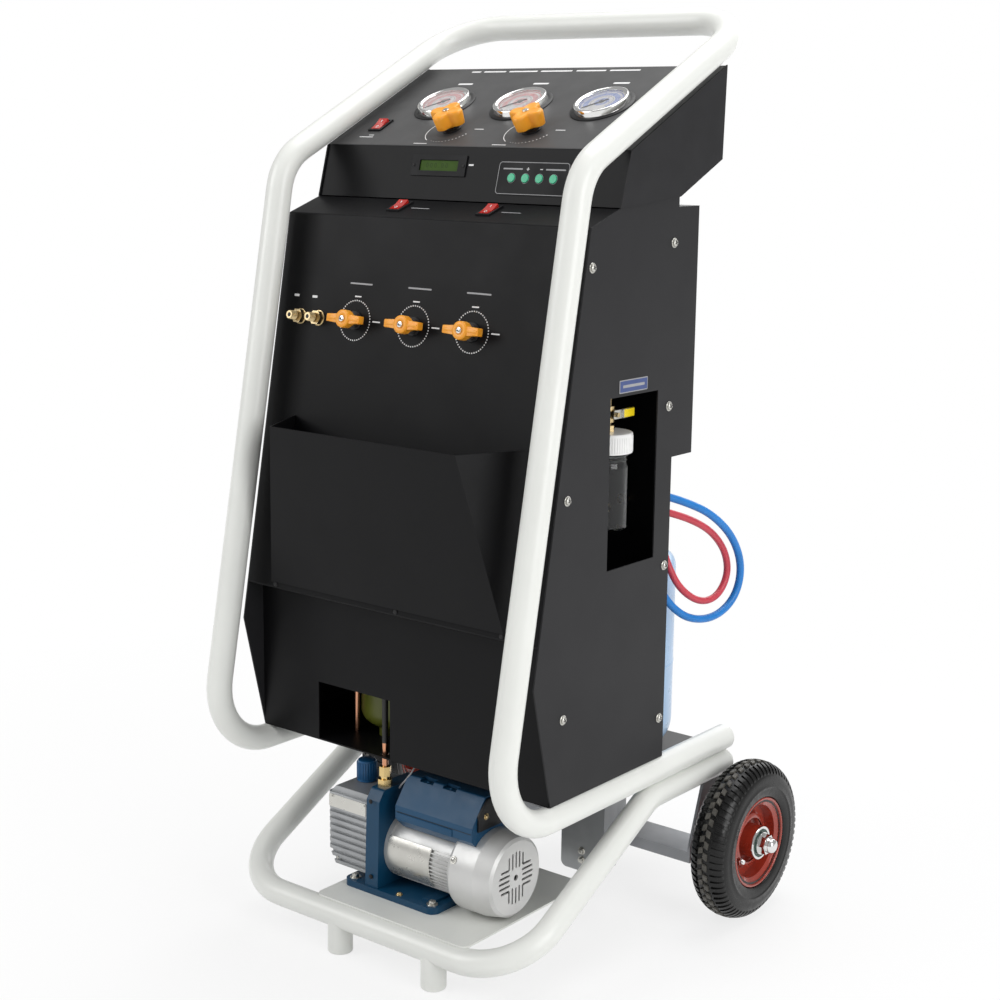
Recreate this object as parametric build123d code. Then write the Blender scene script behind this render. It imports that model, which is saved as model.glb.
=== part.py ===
from build123d import *
import math
import os

# Clearances
running_gap = 0.05
seat_gap = 0.3
slot_gap = 0.5
sheet = 2.0
bend_radius = 1.5

# Frame tubes
station_depth = 588.0
tube_d = 34.0
tube_wall = 2.0
side_tube_span = 480.0
rail_height = 234.0
rail_overhang = 34.0
upright_lean = 10.75
knee_height = 1008.0
handle_slope = 27.0
handle_rise = 183.6
lower_bend_r = 86.0
upper_bend_r = 72.0
handle_bend_r = 80.0
front_bar_height = 49.0
front_bar_setback = 42.0
lower_knee_ahead_of_axle = 154.0
front_corner_r = 85.0
rear_knee_r = 60.0
foot_d = 33.0
foot_centre_x = 34.0
foot_spacing = 160.0
plug_dome = 6.0
plug_stem = 12.0

# Pump shelf
shelf_width = 254.0
shelf_depth = 253.0
shelf_centre_x = 39.0
shelf_thickness = 2.5
shelf_lip = 14.0
shelf_overlap = 2.0

# Wheels
wheel_d = 218.0
tyre_width = 56.0
wheel_track = 594.0
rim_d = 124.0
rim_width = 45.0
rim_seat_r = 53.0
rim_dish = 9.0
rim_sheet = 2.5
hub_length = 50.0
hub_r = 23.0
bearing_d = 40.0
bearing_width = 12.0
axle_d = 16.0
axle_head_r = 13.0
axle_head_length = 9.0
washer_r = 15.0
washer_length = 4.0
spacer_r = 12.0
bearing_inset = 2.0
nut_flats = 24.0
nut_length = 9.0
acorn_length = 11.0

# Axle beam
beam_depth = 57.0
beam_height = 16.0
beam_drop = 20.0
beam_ahead = 21.5
beam_wall = 3.0
bracket_thickness = 4.0
bracket_depth = 62.0

# Cabinet
cabinet_width = 490.0
cabinet_ahead_of_axle = 132.0
cabinet_top_below_console = 55.0
panel_top_below_console = 87.0
panel_knee_height = 408.0
panel_top_depth = 184.0
panel_knee_depth = 280.0
panel_foot_depth = 243.0
ledge_depth = 56.0
ledge_rise = 20.0
lower_panel_depth = 245.0
front_panel_foot_height = 455.0
panel_flange = 36.0
notch_x = (-140.0, -13.0)
notch_top_height = 332.0
bay_depth = (35.0, 137.0)
bay_height = (525.0, 738.0)
bay_lip = 58.0

# Storage pocket
pocket_top_height = 683.0
pocket_foot_height = 466.0
pocket_top_reach = 86.0
pocket_foot_reach = 6.0
pocket_front_half = 152.0
pocket_mouth_half = 194.0
pocket_foot_half = 198.0

# Rear box
rear_box_depth = 48.0
rear_box_drop = 12.0
rear_box_length = 313.0

# Console
console_width = 494.0
console_tilt = 27.0
console_length = 232.6
console_front_depth = 110.0
console_front_above_knee = 21.0
console_foot_depth = 128.0
console_rear_drop = 116.0
console_rear_lean = 4.0
console_recess = 2.5
cheek = 2.0

# Pressure gauges
gauge_pitch = 129.5
gauge_up = 118.0
gauge_r = 43.0
gauge_case_r = 38.0
gauge_case_depth = 30.0
gauge_bezel_height = 9.0
gauge_wall = 2.0
gauge_lens = 1.5
dial_drop = 4.5
needle_length = 27.0
needle_tail = 9.0
needle_pin_r = 1.0
needle_thickness = 0.8
needle_rest_angle = 225.0

# Pressure knobs
knob_x = 65.0
knob_up = 48.5
knob_lobe_r = 25.0
knob_lobe_width = 17.0
knob_height = 20.0
knob_lift = 8.0
stem_r = 4.0
bushing_r = 9.0

# Lever handles
lever_x = (-106.4, -7.8, 87.0)
lever_height = 811.0
lever_length = 56.0
lever_arm = 11.0
lever_hub_r = 11.5
lever_depth = 13.0
lever_lift = 13.0
valve_block = 34.0
valve_depth = 30.0

# Service ports
port_x = (-202.6, -169.9)
port_height = 809.6
port_hex_flats = 17.0
port_hex_length = 8.0
port_stem_r = 5.2
port_length = 22.0
port_collar_r = 6.6
port_collar_length = 3.0
port_neck_r = 4.4
port_tip_length = 8.0
port_tail = 22.0
port_nut_length = 6.0
port_bore_depth = 16.0
port_bore_r = 2.6

# Rocker switches
switch_size = (22.0, 30.0)
switch_frame_lift = 2.5
rocker_size = (15.0, 22.0)
rocker_tip_angle = 10.0
rocker_swing_room = 2.0
switch_lip = 1.2
power_switch_place = (-195.0, 56.0)
ledge_switch_x = (-79.0, 67.6)
ledge_switch_up = 34.0
switch_body_depth = 16.0

# Display and keypad
display_x = -46.0
display_up = 46.0
display_frame = (90.0, 27.0)
display_window = (64.0, 14.0)
display_lift = 2.0
display_glass = 5.0
display_margin = 2.0
keypad_x = 106.7
keypad_up = 33.0
keypad_size = (110.0, 42.0)
button_d = 11.0
button_pitch = 21.6
button_lift = 1.6
button_travel = 0.8
button_spring_room = 2.2
button_stem_tail = 1.5
keypad_well_depth = 6.0
keypad_backing = 2.0
button_stem_r = 3.0
keypad_thickness = 1.2

# Oil bottle
jar_x = 205.0
jar_from_rear = 86.0
jar_r = 29.0
jar_body_length = 86.0
jar_neck_length = 32.0
jar_neck_r = 27.0
jar_wall = 2.0
cap_r = 32.0
cap_length = 25.0
cap_crown = 4.0
oil_valve_room = 50.0
oil_valve_above_cap = 22.0
oil_gland_length = 2.0
oil_grip_length = 27.0
oil_grip_proud = 1.0
oil_pipe_r = 5.0
oil_body_r = 9.0
oil_lever_length = 38.0
oil_lever_width = 11.0
oil_lever_thickness = 2.0

# Refrigerant cylinder
cylinder_x = 45.0
cylinder_behind = 120.0
cylinder_r = 114.0
cylinder_foot_height = 192.0
cylinder_shoulder_height = 455.0
cylinder_top_height = 492.0
foot_ring_r = 90.0
neck_r = 17.0
valve_body_height = 48.0
handwheel_r = 19.0
handwheel_height = 13.0
handwheel_spread = 28.0
valve_port_lift = 24.0
valve_port_reach = 34.0

# Scale
tray_size = 232.0
tray_height = 30.0
bracket_x = (89.0, 160.0)
bracket_foot_height = 58.0
bracket_flange = 30.0
cell_x = 124.0
cell_width = 25.0
cell_height = 25.0
cell_length = 84.0
cell_foot_height = 69.0

# Hoses
blue_hose_d = 10.7
red_hose_d = 9.8
fitting_r = 8.0
fitting_length = 16.0
fitting_nut_length = 8.0
fitting_tail = 8.0
hose_fitting_x = (178.0, 150.0)
hose_fitting_height = (587.0, 571.0)
blue_route = [(178, 69, 587), (178, 92, 587), (184, 118, 583), (205, 155, 569), (219, 198, 548),
              (225, 246, 509), (226, 271, 462), (222, 262, 419), (214, 224, 397), (203, 176, 402),
              (192, 142, 427), (182, 126, 458), (172, 127, 487), (153, 142, 509), (124, 156, 518),
              (95, 156, 518)]
red_route = [(150, 69, 571), (150, 89, 571), (157, 110, 568), (182, 138, 556), (199, 178, 541),
             (207, 220, 518), (209, 254, 484), (208, 264, 449), (205, 242, 421), (200, 204, 420),
             (190, 168, 445), (178, 156, 478), (162, 162, 508), (137, 182, 519), (112, 190, 518),
             (95, 190, 518)]

# Vacuum pump
pump_axis_ahead = 336.0
pump_axis_height = 126.0
pump_base_x = (-80.0, 78.0)
pump_base_depth = 120.0
pump_base_thickness = 9.0
pump_bracket_x = (-42.0, -20.0)
pump_bracket_depth = 116.0
pump_bracket_top_height = 210.0
motor_r = 45.0
motor_end_x = 96.0
motor_rib_count = 22
motor_rib = 2.5
fan_cover_r = 57.0
fan_cover_face_r = 50.0
fan_cover_x = (96.0, 164.0)
fan_cover_wall = 2.5
fan_slot = 3.0
fan_slot_pitch = 7.0
fan_r = 46.0
fan_hub_r = 12.0
fan_blade_count = 7
fan_blade_thickness = 2.0
pump_shaft_r = 7.0
casing_x = (-120.0, -46.0)
casing_depth = 92.0
casing_height = (87.0, 186.0)
casing_fin_top_height = 163.0
casing_fin_count = 8
casing_fin_depth = 4.0
casing_lid_height = 9.0
filler_x = -91.0
filler_neck_r = 8.0
filler_cap_r = 14.0
filler_cap_height = 30.0
top_box_x = (0.0, 128.0)
top_box_depth = 90.0
top_box_height = (173.0, 230.0)
top_box_slot_x = (22.0, 60.0)
top_box_slot = (22.0, 12.0)
top_box_slot_setback = 22.0
top_box_slot_depth = 4.0
suction_x = -33.0
suction_behind_bracket_front = 30.0
suction_hex_flats = 17.0
suction_fitting_length = 26.0
pipe_r = 4.0
pipe_wall = 1.0
pipe_rise = 150.0
pipe_sweep = (60.0, 40.0)
pipe_bend_r = 25.0

# Inside the cabinet
compressor_x = -82.0
compressor_from_rear = 140.0
compressor_r = 58.0
compressor_height = 150.0
compressor_foot = 10.0
drier_x = 60.0
drier_r = 21.0
drier_length = 130.0
board_size = (150.0, 30.0)
board_thickness = 2.0

# Places that follow from the sizes above
tube_r = tube_d / 2
front_y = -station_depth / 2
axle_y = station_depth / 2 - wheel_d / 2
axle_height = wheel_d / 2
rail_end_y = axle_y + rail_overhang
upright_turn = 90.0 + upright_lean
lower_corner_y = (front_y + tube_r + lower_bend_r
                  - lower_bend_r * math.tan(math.radians(upright_turn / 2)))
upper_corner_y = lower_corner_y + (knee_height - rail_height) * math.tan(math.radians(upright_lean))
handle_height = knee_height + handle_rise
handle_y = upper_corner_y + (handle_height - knee_height) / math.tan(math.radians(handle_slope))
front_bar_y = front_y + front_bar_setback
lower_rail_height = rail_height - tube_d - seat_gap
side_x = side_tube_span / 2
wheel_x = wheel_track / 2
cabinet_foot = rail_height + tube_r + seat_gap
cabinet_half = cabinet_width / 2
inner_half = cabinet_half - sheet
cabinet_rear_y = axle_y - cabinet_ahead_of_axle
panel_top_y = cabinet_rear_y - panel_top_depth
panel_knee_y = cabinet_rear_y - panel_knee_depth
console_front_height = knee_height + console_front_above_knee
cabinet_top_height = console_front_height - cabinet_top_below_console
panel_top_height = console_front_height - panel_top_below_console
panel_lean = math.atan2(panel_top_y - panel_knee_y, panel_top_height - panel_knee_height)
ledge_rear_y = panel_top_y + ledge_depth
ledge_rear_height = panel_top_height + ledge_rise
lower_panel_y = cabinet_rear_y - lower_panel_depth
console_half = console_width / 2
console_front_y = cabinet_rear_y - console_front_depth
console_foot_y = cabinet_rear_y - console_foot_depth
roof_slope = (cabinet_top_height - ledge_rear_height) / (cabinet_rear_y - ledge_rear_y)
console_foot_height = ledge_rear_height + (console_foot_y - ledge_rear_y) * roof_slope
console_rear_y = console_front_y + console_length * math.cos(math.radians(console_tilt))
console_rear_height = console_front_height + console_length * math.sin(math.radians(console_tilt))
pump_y = axle_y - pump_axis_ahead
shelf_front_y = front_bar_y - shelf_overlap
shelf_top = front_bar_height + tube_r + seat_gap + shelf_thickness
cylinder_y = cabinet_rear_y + cylinder_behind
jar_y = cabinet_rear_y - jar_from_rear
rear_box_top = cabinet_top_height - rear_box_drop
rear_box_height = (rear_box_top - rear_box_length, rear_box_top)
cap_top = bay_height[1] - oil_valve_room
cap_height = (cap_top - cap_length, cap_top)
jar_top_height = cap_top - cap_crown
jar_shoulder_height = jar_top_height - jar_neck_length
jar_foot_height = jar_shoulder_height - jar_body_length
oil_valve_height = cap_top + oil_valve_above_cap
oil_lever_start = jar_x + oil_body_r + oil_gland_length + seat_gap


def block(x, y, z):
    """A box between two corners, each axis given as (low, high)."""
    size = [high - low for low, high in (x, y, z)]
    middle = [(high + low) / 2 for low, high in (x, y, z)]
    return Pos(*middle) * Box(*size)


def rod_x(radius, x, y, z):
    """A round bar along X between two x values."""
    plane = Plane(origin=(x[0], y, z), x_dir=(0, 1, 0), z_dir=(1, 0, 0))
    return extrude(plane * Circle(radius), amount=x[1] - x[0])


def rod_z(radius, x, y, z):
    """A round bar along Z between two heights."""
    return extrude(Pos(x, y, z[0]) * Circle(radius), amount=z[1] - z[0])


def rod_on(plane, radius, low, high, inner=0.0):
    """A round bar or ring standing on a plane, between two heights above it."""
    section = Circle(radius)
    if inner > 0:
        section -= Circle(inner)
    return extrude(plane.offset(low) * section, amount=high - low)


def block_on(plane, x, y, z):
    """A box in a plane's own coordinates."""
    return plane * block(x, y, z)


def profile_on(plane, points, x):
    """A prism along a plane's own x from points in its (y, z)."""
    section = Plane(origin=plane.origin + plane.x_dir * x[0], x_dir=plane.y_dir, z_dir=plane.x_dir)
    return extrude(section * Polygon(*points, align=None), amount=x[1] - x[0], dir=plane.x_dir)


def side_profile(points, x):
    """A prism along X from (y, z) points."""
    face = Plane.YZ.offset(x[0]) * Polygon(*points, align=None)
    return extrude(face, amount=x[1] - x[0], dir=(1, 0, 0))


def mirror_x(shape):
    """The same piece on the other side of the station."""
    return mirror(shape, about=Plane.YZ)


def mitred(points, distance):
    """The (y, z) points moved to the left of their path by a distance."""
    moved = []
    for i, point in enumerate(points):
        before = points[max(i - 1, 0)]
        after = points[min(i + 1, len(points) - 1)]
        first = Vector(*point) - Vector(*before) if i > 0 else Vector(*after) - Vector(*point)
        second = Vector(*after) - Vector(*point) if i < len(points) - 1 else first
        n1 = Vector(-first.Y, first.X).normalized()
        n2 = Vector(-second.Y, second.X).normalized()
        middle = (n1 + n2).normalized()
        reach = distance / middle.dot(n1)
        moved.append((point[0] + middle.X * reach, point[1] + middle.Y * reach))
    return moved


def folded_sheet(points, thickness, x):
    """A folded sheet along X. The path gives its outer face and the sheet lies to the left of it."""
    inner = mitred(points, thickness)
    face = Polygon(*points, *reversed(inner), align=None)
    for outside, inside in list(zip(points, inner))[1:-1]:
        for point, other in ((outside, inside), (inside, outside)):
            corner = face.vertices().sort_by_distance(Vector(*point))[0]
            convex = (Vector(*point) - face.center()).length > (Vector(*other) - face.center()).length
            face = fillet(corner, bend_radius + (thickness if convex else 0.0))
    return extrude(Plane.YZ.offset(x[0]) * face, amount=x[1] - x[0], dir=(1, 0, 0))


def rising_plane(low, high):
    """The plane of a panel that faces forward or up, with local y running from low to high."""
    along = Vector(0, high[0] - low[0], high[1] - low[1]).normalized()
    return Plane(origin=(0, low[0], low[1]), x_dir=(1, 0, 0), z_dir=(0, -along.Z, along.Y))


front_face = rising_plane((panel_knee_y, panel_knee_height), (panel_top_y, panel_top_height))
ledge_face = rising_plane((panel_top_y, panel_top_height), (ledge_rear_y, ledge_rear_height))
console_front = rising_plane((console_foot_y, console_foot_height),
                             (console_front_y, console_front_height)).offset(-console_recess)
console_top = rising_plane((console_front_y, console_front_height),
                           (console_rear_y, console_rear_height))


def panel_y_at(height):
    """Where the front panel's outer face lies at a height."""
    return panel_knee_y + (height - panel_knee_height) * math.tan(panel_lean)


def here(plane, x, y, z=0.0):
    """The plane moved within its own coordinates."""
    return Plane(plane.location * Pos(x, y, z))


def hexagon_on(plane, flats, low, high):
    """A hexagonal prism standing on a plane."""
    section = RegularPolygon(flats / 2, 6, major_radius=False)
    return extrude(plane.offset(low) * section, amount=high - low)


# Frame tubes

def bent_tube(points, radii, diameter, wall):
    """A hollow tube bent along a route."""
    path = FilletPolyline(*points, radius=radii)
    start = Plane(origin=path @ 0, z_dir=path % 0)
    ring = Circle(diameter / 2) - Circle(diameter / 2 - wall)
    return sweep(start * ring, path=path)


def tube_plug(x, z):
    """The domed plug in the rear end of a rail."""
    plane = Plane(origin=(x, rail_end_y - plug_dome, z), x_dir=(1, 0, 0), z_dir=(0, 1, 0))
    dome = rod_on(plane, tube_r, 0, plug_dome)
    rear_edge = dome.edges().sort_by(Axis.Y)[-1]
    dome = fillet(rear_edge, plug_dome * 0.7)
    return dome + rod_on(plane, tube_r - tube_wall - running_gap, -plug_stem, 0)


def main_frame_tube():
    tube_end_y = rail_end_y - plug_dome
    side = [(tube_end_y, rail_height), (lower_corner_y, rail_height),
            (upper_corner_y, knee_height), (handle_y, handle_height)]
    route = [(-side_x, y, z) for y, z in side] + [(side_x, y, z) for y, z in reversed(side)]
    radii = [lower_bend_r, upper_bend_r, handle_bend_r]
    tube = bent_tube(route, radii + radii[::-1], tube_d, tube_wall)
    return Compound([tube, tube_plug(-side_x, rail_height), tube_plug(side_x, rail_height)])


def lower_frame_tube():
    tube_end_y = rail_end_y - plug_dome
    knee_y = axle_y - lower_knee_ahead_of_axle
    side = [(tube_end_y, lower_rail_height), (knee_y, lower_rail_height),
            (front_bar_y, front_bar_height)]
    route = [(-side_x, y, z) for y, z in side] + [(side_x, y, z) for y, z in reversed(side)]
    radii = [rear_knee_r, front_corner_r]
    tube = bent_tube(route, radii + radii[::-1], tube_d, tube_wall)
    bore = rod_x(tube_r - tube_wall / 2, (-side_x, side_x), front_bar_y, front_bar_height)
    for side_sign in (-1, 1):
        foot_x = foot_centre_x + side_sign * foot_spacing / 2
        foot = rod_z(foot_d / 2, foot_x, front_bar_y, (0, front_bar_height))
        foot = fillet(foot.edges().sort_by(Axis.Z)[0], 2.0)
        tube += foot - bore
    return Compound([tube, tube_plug(-side_x, lower_rail_height), tube_plug(side_x, lower_rail_height)])


def pump_shelf():
    x = (shelf_centre_x - shelf_width / 2, shelf_centre_x + shelf_width / 2)
    rear_y = shelf_front_y + shelf_depth
    foot = shelf_top - shelf_thickness
    plate = block(x, (shelf_front_y, rear_y), (foot, shelf_top))
    lip = block(x, (rear_y - shelf_thickness, rear_y), (foot - shelf_lip, shelf_top))
    corners = plate.edges().filter_by(Axis.Z).group_by(Axis.Y)[0]
    return fillet(corners, 10.0) + lip


# Wheels

def tyre(x):
    """The tyre's carcass, open to the rim on its inner side."""
    outer_r = wheel_d / 2
    half = tyre_width / 2
    section_r = (outer_r - rim_seat_r) / 2
    seat = rim_seat_r + rim_sheet + seat_gap
    bead = rim_width / 2 - rim_sheet - seat_gap
    crown = half * 0.55
    with BuildSketch(Plane.XZ) as section:
        with BuildLine():
            Polyline((-bead, seat), (bead, seat), (bead, rim_d / 2 + seat_gap),
                     (bead + 3, rim_d / 2 + 2))
            Spline((bead + 3, rim_d / 2 + 2), (half, outer_r - section_r), (crown, outer_r - 2.5),
                   (0, outer_r), (-crown, outer_r - 2.5), (-half, outer_r - section_r),
                   (-bead - 3, rim_d / 2 + 2))
            Polyline((-bead - 3, rim_d / 2 + 2), (-bead, rim_d / 2 + seat_gap), (-bead, seat))
        make_face()
    carcass = revolve(section.sketch, axis=Axis.X)
    hollow = revolve(Plane.XZ * (Pos(0, (outer_r + seat) / 2)
                                 * Ellipse(half - 7, (outer_r - seat) / 2 - 8)), axis=Axis.X)
    mouth = rod_x(seat + 12, (-8, 8), 0, 0) - rod_x(seat - 5, (-8, 8), 0, 0)
    return Pos(x, axle_y, axle_height) * (carcass - hollow - mouth)


def rim(x, outward):
    """The pressed rim: two flanges, the seat, a dished disc and the hub tube."""
    half = rim_width / 2
    lip_r = rim_d / 2
    seat_r = rim_seat_r
    wall = rim_sheet
    outer = [(-half, lip_r), (-half, lip_r - 3), (-half + wall + 3, seat_r - wall),
             (half - wall - 3, seat_r - wall), (half, lip_r - 3), (half, lip_r),
             (half - wall, lip_r), (half - wall, seat_r + 2), (half - wall - 2, seat_r),
             (-half + wall + 2, seat_r), (-half + wall, seat_r + 2), (-half + wall, lip_r)]
    ring = revolve(Plane.XZ * Polygon(*outer, align=None), axis=Axis.X)
    dish = [(-rim_dish, hub_r - 1), (-rim_dish + wall, hub_r - 1), (-rim_dish + wall, hub_r + 8),
            (wall / 2, seat_r - 12), (wall / 2, seat_r - wall / 2), (-wall / 2, seat_r - wall / 2),
            (-wall / 2, seat_r - 11), (-rim_dish, hub_r + 9)]
    disc = revolve(Plane.XZ * Polygon(*dish, align=None), axis=Axis.X)
    hub = rod_x(hub_r, (-hub_length / 2, hub_length / 2), 0, 0)
    hub -= rod_x(bearing_d / 2 + running_gap, (-hub_length / 2, hub_length / 2), 0, 0)
    stem_at = Pos(0, -(seat_r - 15), -17)
    stem = stem_at * rod_x(3.2, (wall / 2, half - 2), 0, 0)
    body = ring + disc + hub + stem
    if outward < 0:
        body = mirror(body, about=Plane.YZ)
    return Pos(x, axle_y, axle_height) * body


def bearing(x):
    """One sealed bearing inside the hub."""
    half = bearing_width / 2
    ring = rod_x(bearing_d / 2, (x - half, x + half), axle_y, axle_height)
    ring -= rod_x(axle_d / 2 + running_gap, (x - half, x + half), axle_y, axle_height)
    for face in (x - half, x + half):
        groove = rod_x(bearing_d / 2 - 3, (face - 0.8, face + 0.8), axle_y, axle_height)
        ring -= groove - rod_x(axle_d / 2 + 4, (face - 0.8, face + 0.8), axle_y, axle_height)
    return ring


def axle_stack(side):
    """Bolt, bearings, spacers, washer, nut and acorn nut of one wheel, built on the right side."""
    bolt_r = axle_d / 2
    bore_r = bolt_r + running_gap
    plate_in = side_x - bracket_thickness / 2
    plate_out = side_x + bracket_thickness / 2
    hub_in = wheel_x - hub_length / 2
    hub_out = wheel_x + hub_length / 2
    bearing_in = hub_in + bearing_inset + bearing_width / 2
    bearing_out = hub_out - bearing_width / 2
    washer_end = hub_out + washer_length
    nut_end = washer_end + nut_length
    acorn_end = nut_end + acorn_length
    at = Plane(origin=(0, axle_y, axle_height), x_dir=(0, 1, 0), z_dir=(1, 0, 0))
    bolt = rod_on(at, bolt_r, plate_in, nut_end)
    bolt += hexagon_on(at, axle_head_r * 2, plate_in - axle_head_length, plate_in)
    outer_spacer = rod_on(at, spacer_r, plate_out, bearing_in - bearing_width / 2, bore_r)
    inner_spacer = rod_on(at, spacer_r, bearing_in + bearing_width / 2, bearing_out - bearing_width / 2,
                          bore_r)
    washer = rod_on(at, washer_r, hub_out, washer_end, bore_r)
    nut = hexagon_on(at, nut_flats, washer_end, nut_end) - rod_on(at, bore_r, washer_end, nut_end)
    acorn = rod_on(at, nut_flats * 0.42, nut_end, acorn_end)
    acorn = fillet(acorn.edges().sort_by(Axis.X)[-1], nut_flats * 0.3)
    pieces = [bolt, bearing(bearing_in), bearing(bearing_out), outer_spacer, inner_spacer,
              washer, nut, acorn]
    return pieces if side > 0 else [mirror_x(piece) for piece in pieces]


def wheel_axles():
    return Compound(axle_stack(1) + axle_stack(-1))


def axle_beam():
    """The folded beam under the axle line and the two plates that hang from the lower rails."""
    top = axle_height - beam_drop
    rear_y = axle_y + beam_depth / 2 - beam_ahead
    front = rear_y - beam_depth
    reach = side_x - bracket_thickness / 2
    beam = block((-reach, reach), (front, rear_y), (top - beam_height, top))
    beam -= block((-reach, reach), (front + beam_wall, rear_y - beam_wall),
                  (top - beam_height, top - beam_wall))
    plate_top = lower_rail_height - tube_r - seat_gap
    outline = [(front, top - beam_height), (axle_y + axle_head_r + 4, top - beam_height),
               (axle_y + bracket_depth / 2, plate_top), (axle_y - bracket_depth / 3, plate_top),
               (front, top + 6)]
    x = (side_x - bracket_thickness / 2, side_x + bracket_thickness / 2)
    plate = side_profile(outline, x)
    plate -= rod_x(axle_d / 2 + running_gap, x, axle_y, axle_height)
    return beam + plate + mirror_x(plate)


# Cabinet

def side_panel(side):
    """One side panel of the cabinet, built on the right side."""
    outline = [(panel_top_y, panel_top_height), (panel_knee_y, panel_knee_height),
               (cabinet_rear_y - panel_foot_depth, cabinet_foot), (cabinet_rear_y, cabinet_foot),
               (cabinet_rear_y, cabinet_top_height), (ledge_rear_y, ledge_rear_height)]
    x = (inner_half, cabinet_half)
    panel = side_profile(outline, x)
    if side > 0:
        window_y = (cabinet_rear_y - bay_depth[1], cabinet_rear_y - bay_depth[0])
        panel -= block(x, window_y, bay_height)
        lip = block((inner_half - bay_lip, cabinet_half), window_y, (bay_height[1], bay_height[1] + sheet))
        lip -= rod_z(oil_pipe_r + running_gap, jar_x, jar_y, (bay_height[1], bay_height[1] + sheet))
        lip -= lever_slot()
        panel += lip
    return panel if side > 0 else mirror_x(panel)


def lever_slot():
    """The slot in the bay's lip that the oil valve's lever swings up through."""
    side_room = oil_grip_proud + slot_gap
    x = (oil_lever_start - side_room, oil_lever_start + oil_lever_thickness + side_room)
    y = (jar_y - oil_lever_width / 2 - slot_gap, jar_y + oil_lever_length + slot_gap)
    return block(x, y, (bay_height[1] - 1, bay_height[1] + sheet + 1))


def front_panel():
    """The sloped front sheet with its ledge, its foot return and its side flanges."""
    foot = front_panel_foot_height
    ledge_up = (console_foot_y - seat_gap - panel_top_y) / ledge_depth * ledge_rise
    path = [(console_foot_y - seat_gap, panel_top_height + ledge_up), (panel_top_y, panel_top_height),
            (panel_y_at(foot), foot), (lower_panel_y - seat_gap, foot)]
    panel = folded_sheet(path, sheet, (-inner_half, inner_half))
    flange = side_profile([(panel_y_at(foot) + 1, foot), (panel_top_y + 1, panel_top_height - 4),
                           (panel_top_y + panel_flange, panel_top_height - 4),
                           (panel_y_at(foot) + panel_flange, foot)],
                          (inner_half - sheet, inner_half))
    panel += flange
    panel += mirror_x(flange)
    for x in lever_x:
        panel -= rod_on(here(front_face, x, front_up(lever_height)), bushing_r + running_gap, -6, 6)
    for x in port_x:
        panel -= rod_on(here(front_face, x, front_up(port_height)), port_stem_r + running_gap, -6, 6)
    for x in ledge_switch_x:
        at = here(ledge_face, x, ledge_switch_up)
        panel -= block_on(at, *switch_hole())
    return panel


def front_up(height):
    """Distance up the front panel's face to a height."""
    return (height - panel_knee_height) / math.cos(panel_lean)


def switch_hole():
    """The cut-out for a rocker switch, in its panel's coordinates."""
    half_x = switch_size[0] / 2 - switch_lip + running_gap
    half_y = switch_size[1] / 2 - switch_lip + running_gap
    return (-half_x, half_x), (-half_y, half_y), (-6, 6)


def lower_front_panel():
    """The recessed upright sheet under the sloped panel, with the notch over the pump."""
    y = (lower_panel_y, lower_panel_y + sheet)
    foot = cabinet_foot + sheet
    panel = block((-inner_half, inner_half), y, (foot, front_panel_foot_height - seat_gap))
    tongue_half = inner_half - sheet - seat_gap
    panel += block((-tongue_half, tongue_half), y, (foot, front_panel_foot_height + 22))
    flange = block((inner_half - sheet, inner_half), (y[0], y[0] + panel_flange),
                   (foot, front_panel_foot_height - seat_gap))
    panel += flange
    panel += mirror_x(flange)
    panel -= block(notch_x, (y[0] - 1, y[1] + 1), (foot - 1, notch_top_height))
    return panel


def storage_pocket():
    """The faceted pocket, open at the top, with its flange along the foot."""
    foot_y = panel_y_at(pocket_foot_height)
    top_y = panel_y_at(pocket_top_height)
    outer = pocket_body(0.0)
    inner = pocket_body(sheet)
    lift = block((-cabinet_width, cabinet_width), (top_y - 200, foot_y + 200),
                 (pocket_top_height - 1, pocket_top_height + 50))
    pocket = outer - inner - lift
    half = pocket_foot_half - 8
    flange = block_on(here(front_face, 0, front_up(pocket_foot_height)),
                      (-half, half), (front_up(front_panel_foot_height) + bend_radius + sheet + 1
                                      - front_up(pocket_foot_height), 3), (0, sheet))
    return pocket + flange


def pocket_body(inset):
    """The pocket's wedge, made smaller by an inset on the front, foot and both sides."""
    wedge = [(panel_y_at(pocket_foot_height), pocket_foot_height),
             (panel_y_at(pocket_foot_height) - pocket_foot_reach, pocket_foot_height),
             (panel_y_at(pocket_top_height) - pocket_top_reach, pocket_top_height),
             (panel_y_at(pocket_top_height), pocket_top_height)]
    front = mitred([wedge[0], wedge[1], wedge[2], wedge[3]], -inset)
    if inset > 0:
        slope = (wedge[2][0] - wedge[1][0]) / (wedge[2][1] - wedge[1][1])
        front = [(wedge[0][0] + 5, front[1][1]), front[1],
                 (front[1][0] + slope * (pocket_top_height + 5 - front[1][1]), pocket_top_height + 5),
                 (wedge[3][0] + 5, pocket_top_height + 5)]
    body = side_profile(front, (-pocket_foot_half - 40, pocket_foot_half + 40))
    for side in (1, -1):
        low = Vector(side * pocket_foot_half, panel_y_at(pocket_foot_height), pocket_foot_height)
        rear = Vector(side * pocket_mouth_half, panel_y_at(pocket_top_height), pocket_top_height)
        lip = Vector(side * pocket_front_half, panel_y_at(pocket_top_height) - pocket_top_reach,
                     pocket_top_height)
        normal = (rear - low).cross(lip - low).normalized()
        normal = normal if normal.X * side > 0 else normal * -1
        body = split(body, bisect_by=Plane(origin=low - normal * inset, z_dir=normal), keep=Keep.BOTTOM)
    return body


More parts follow.
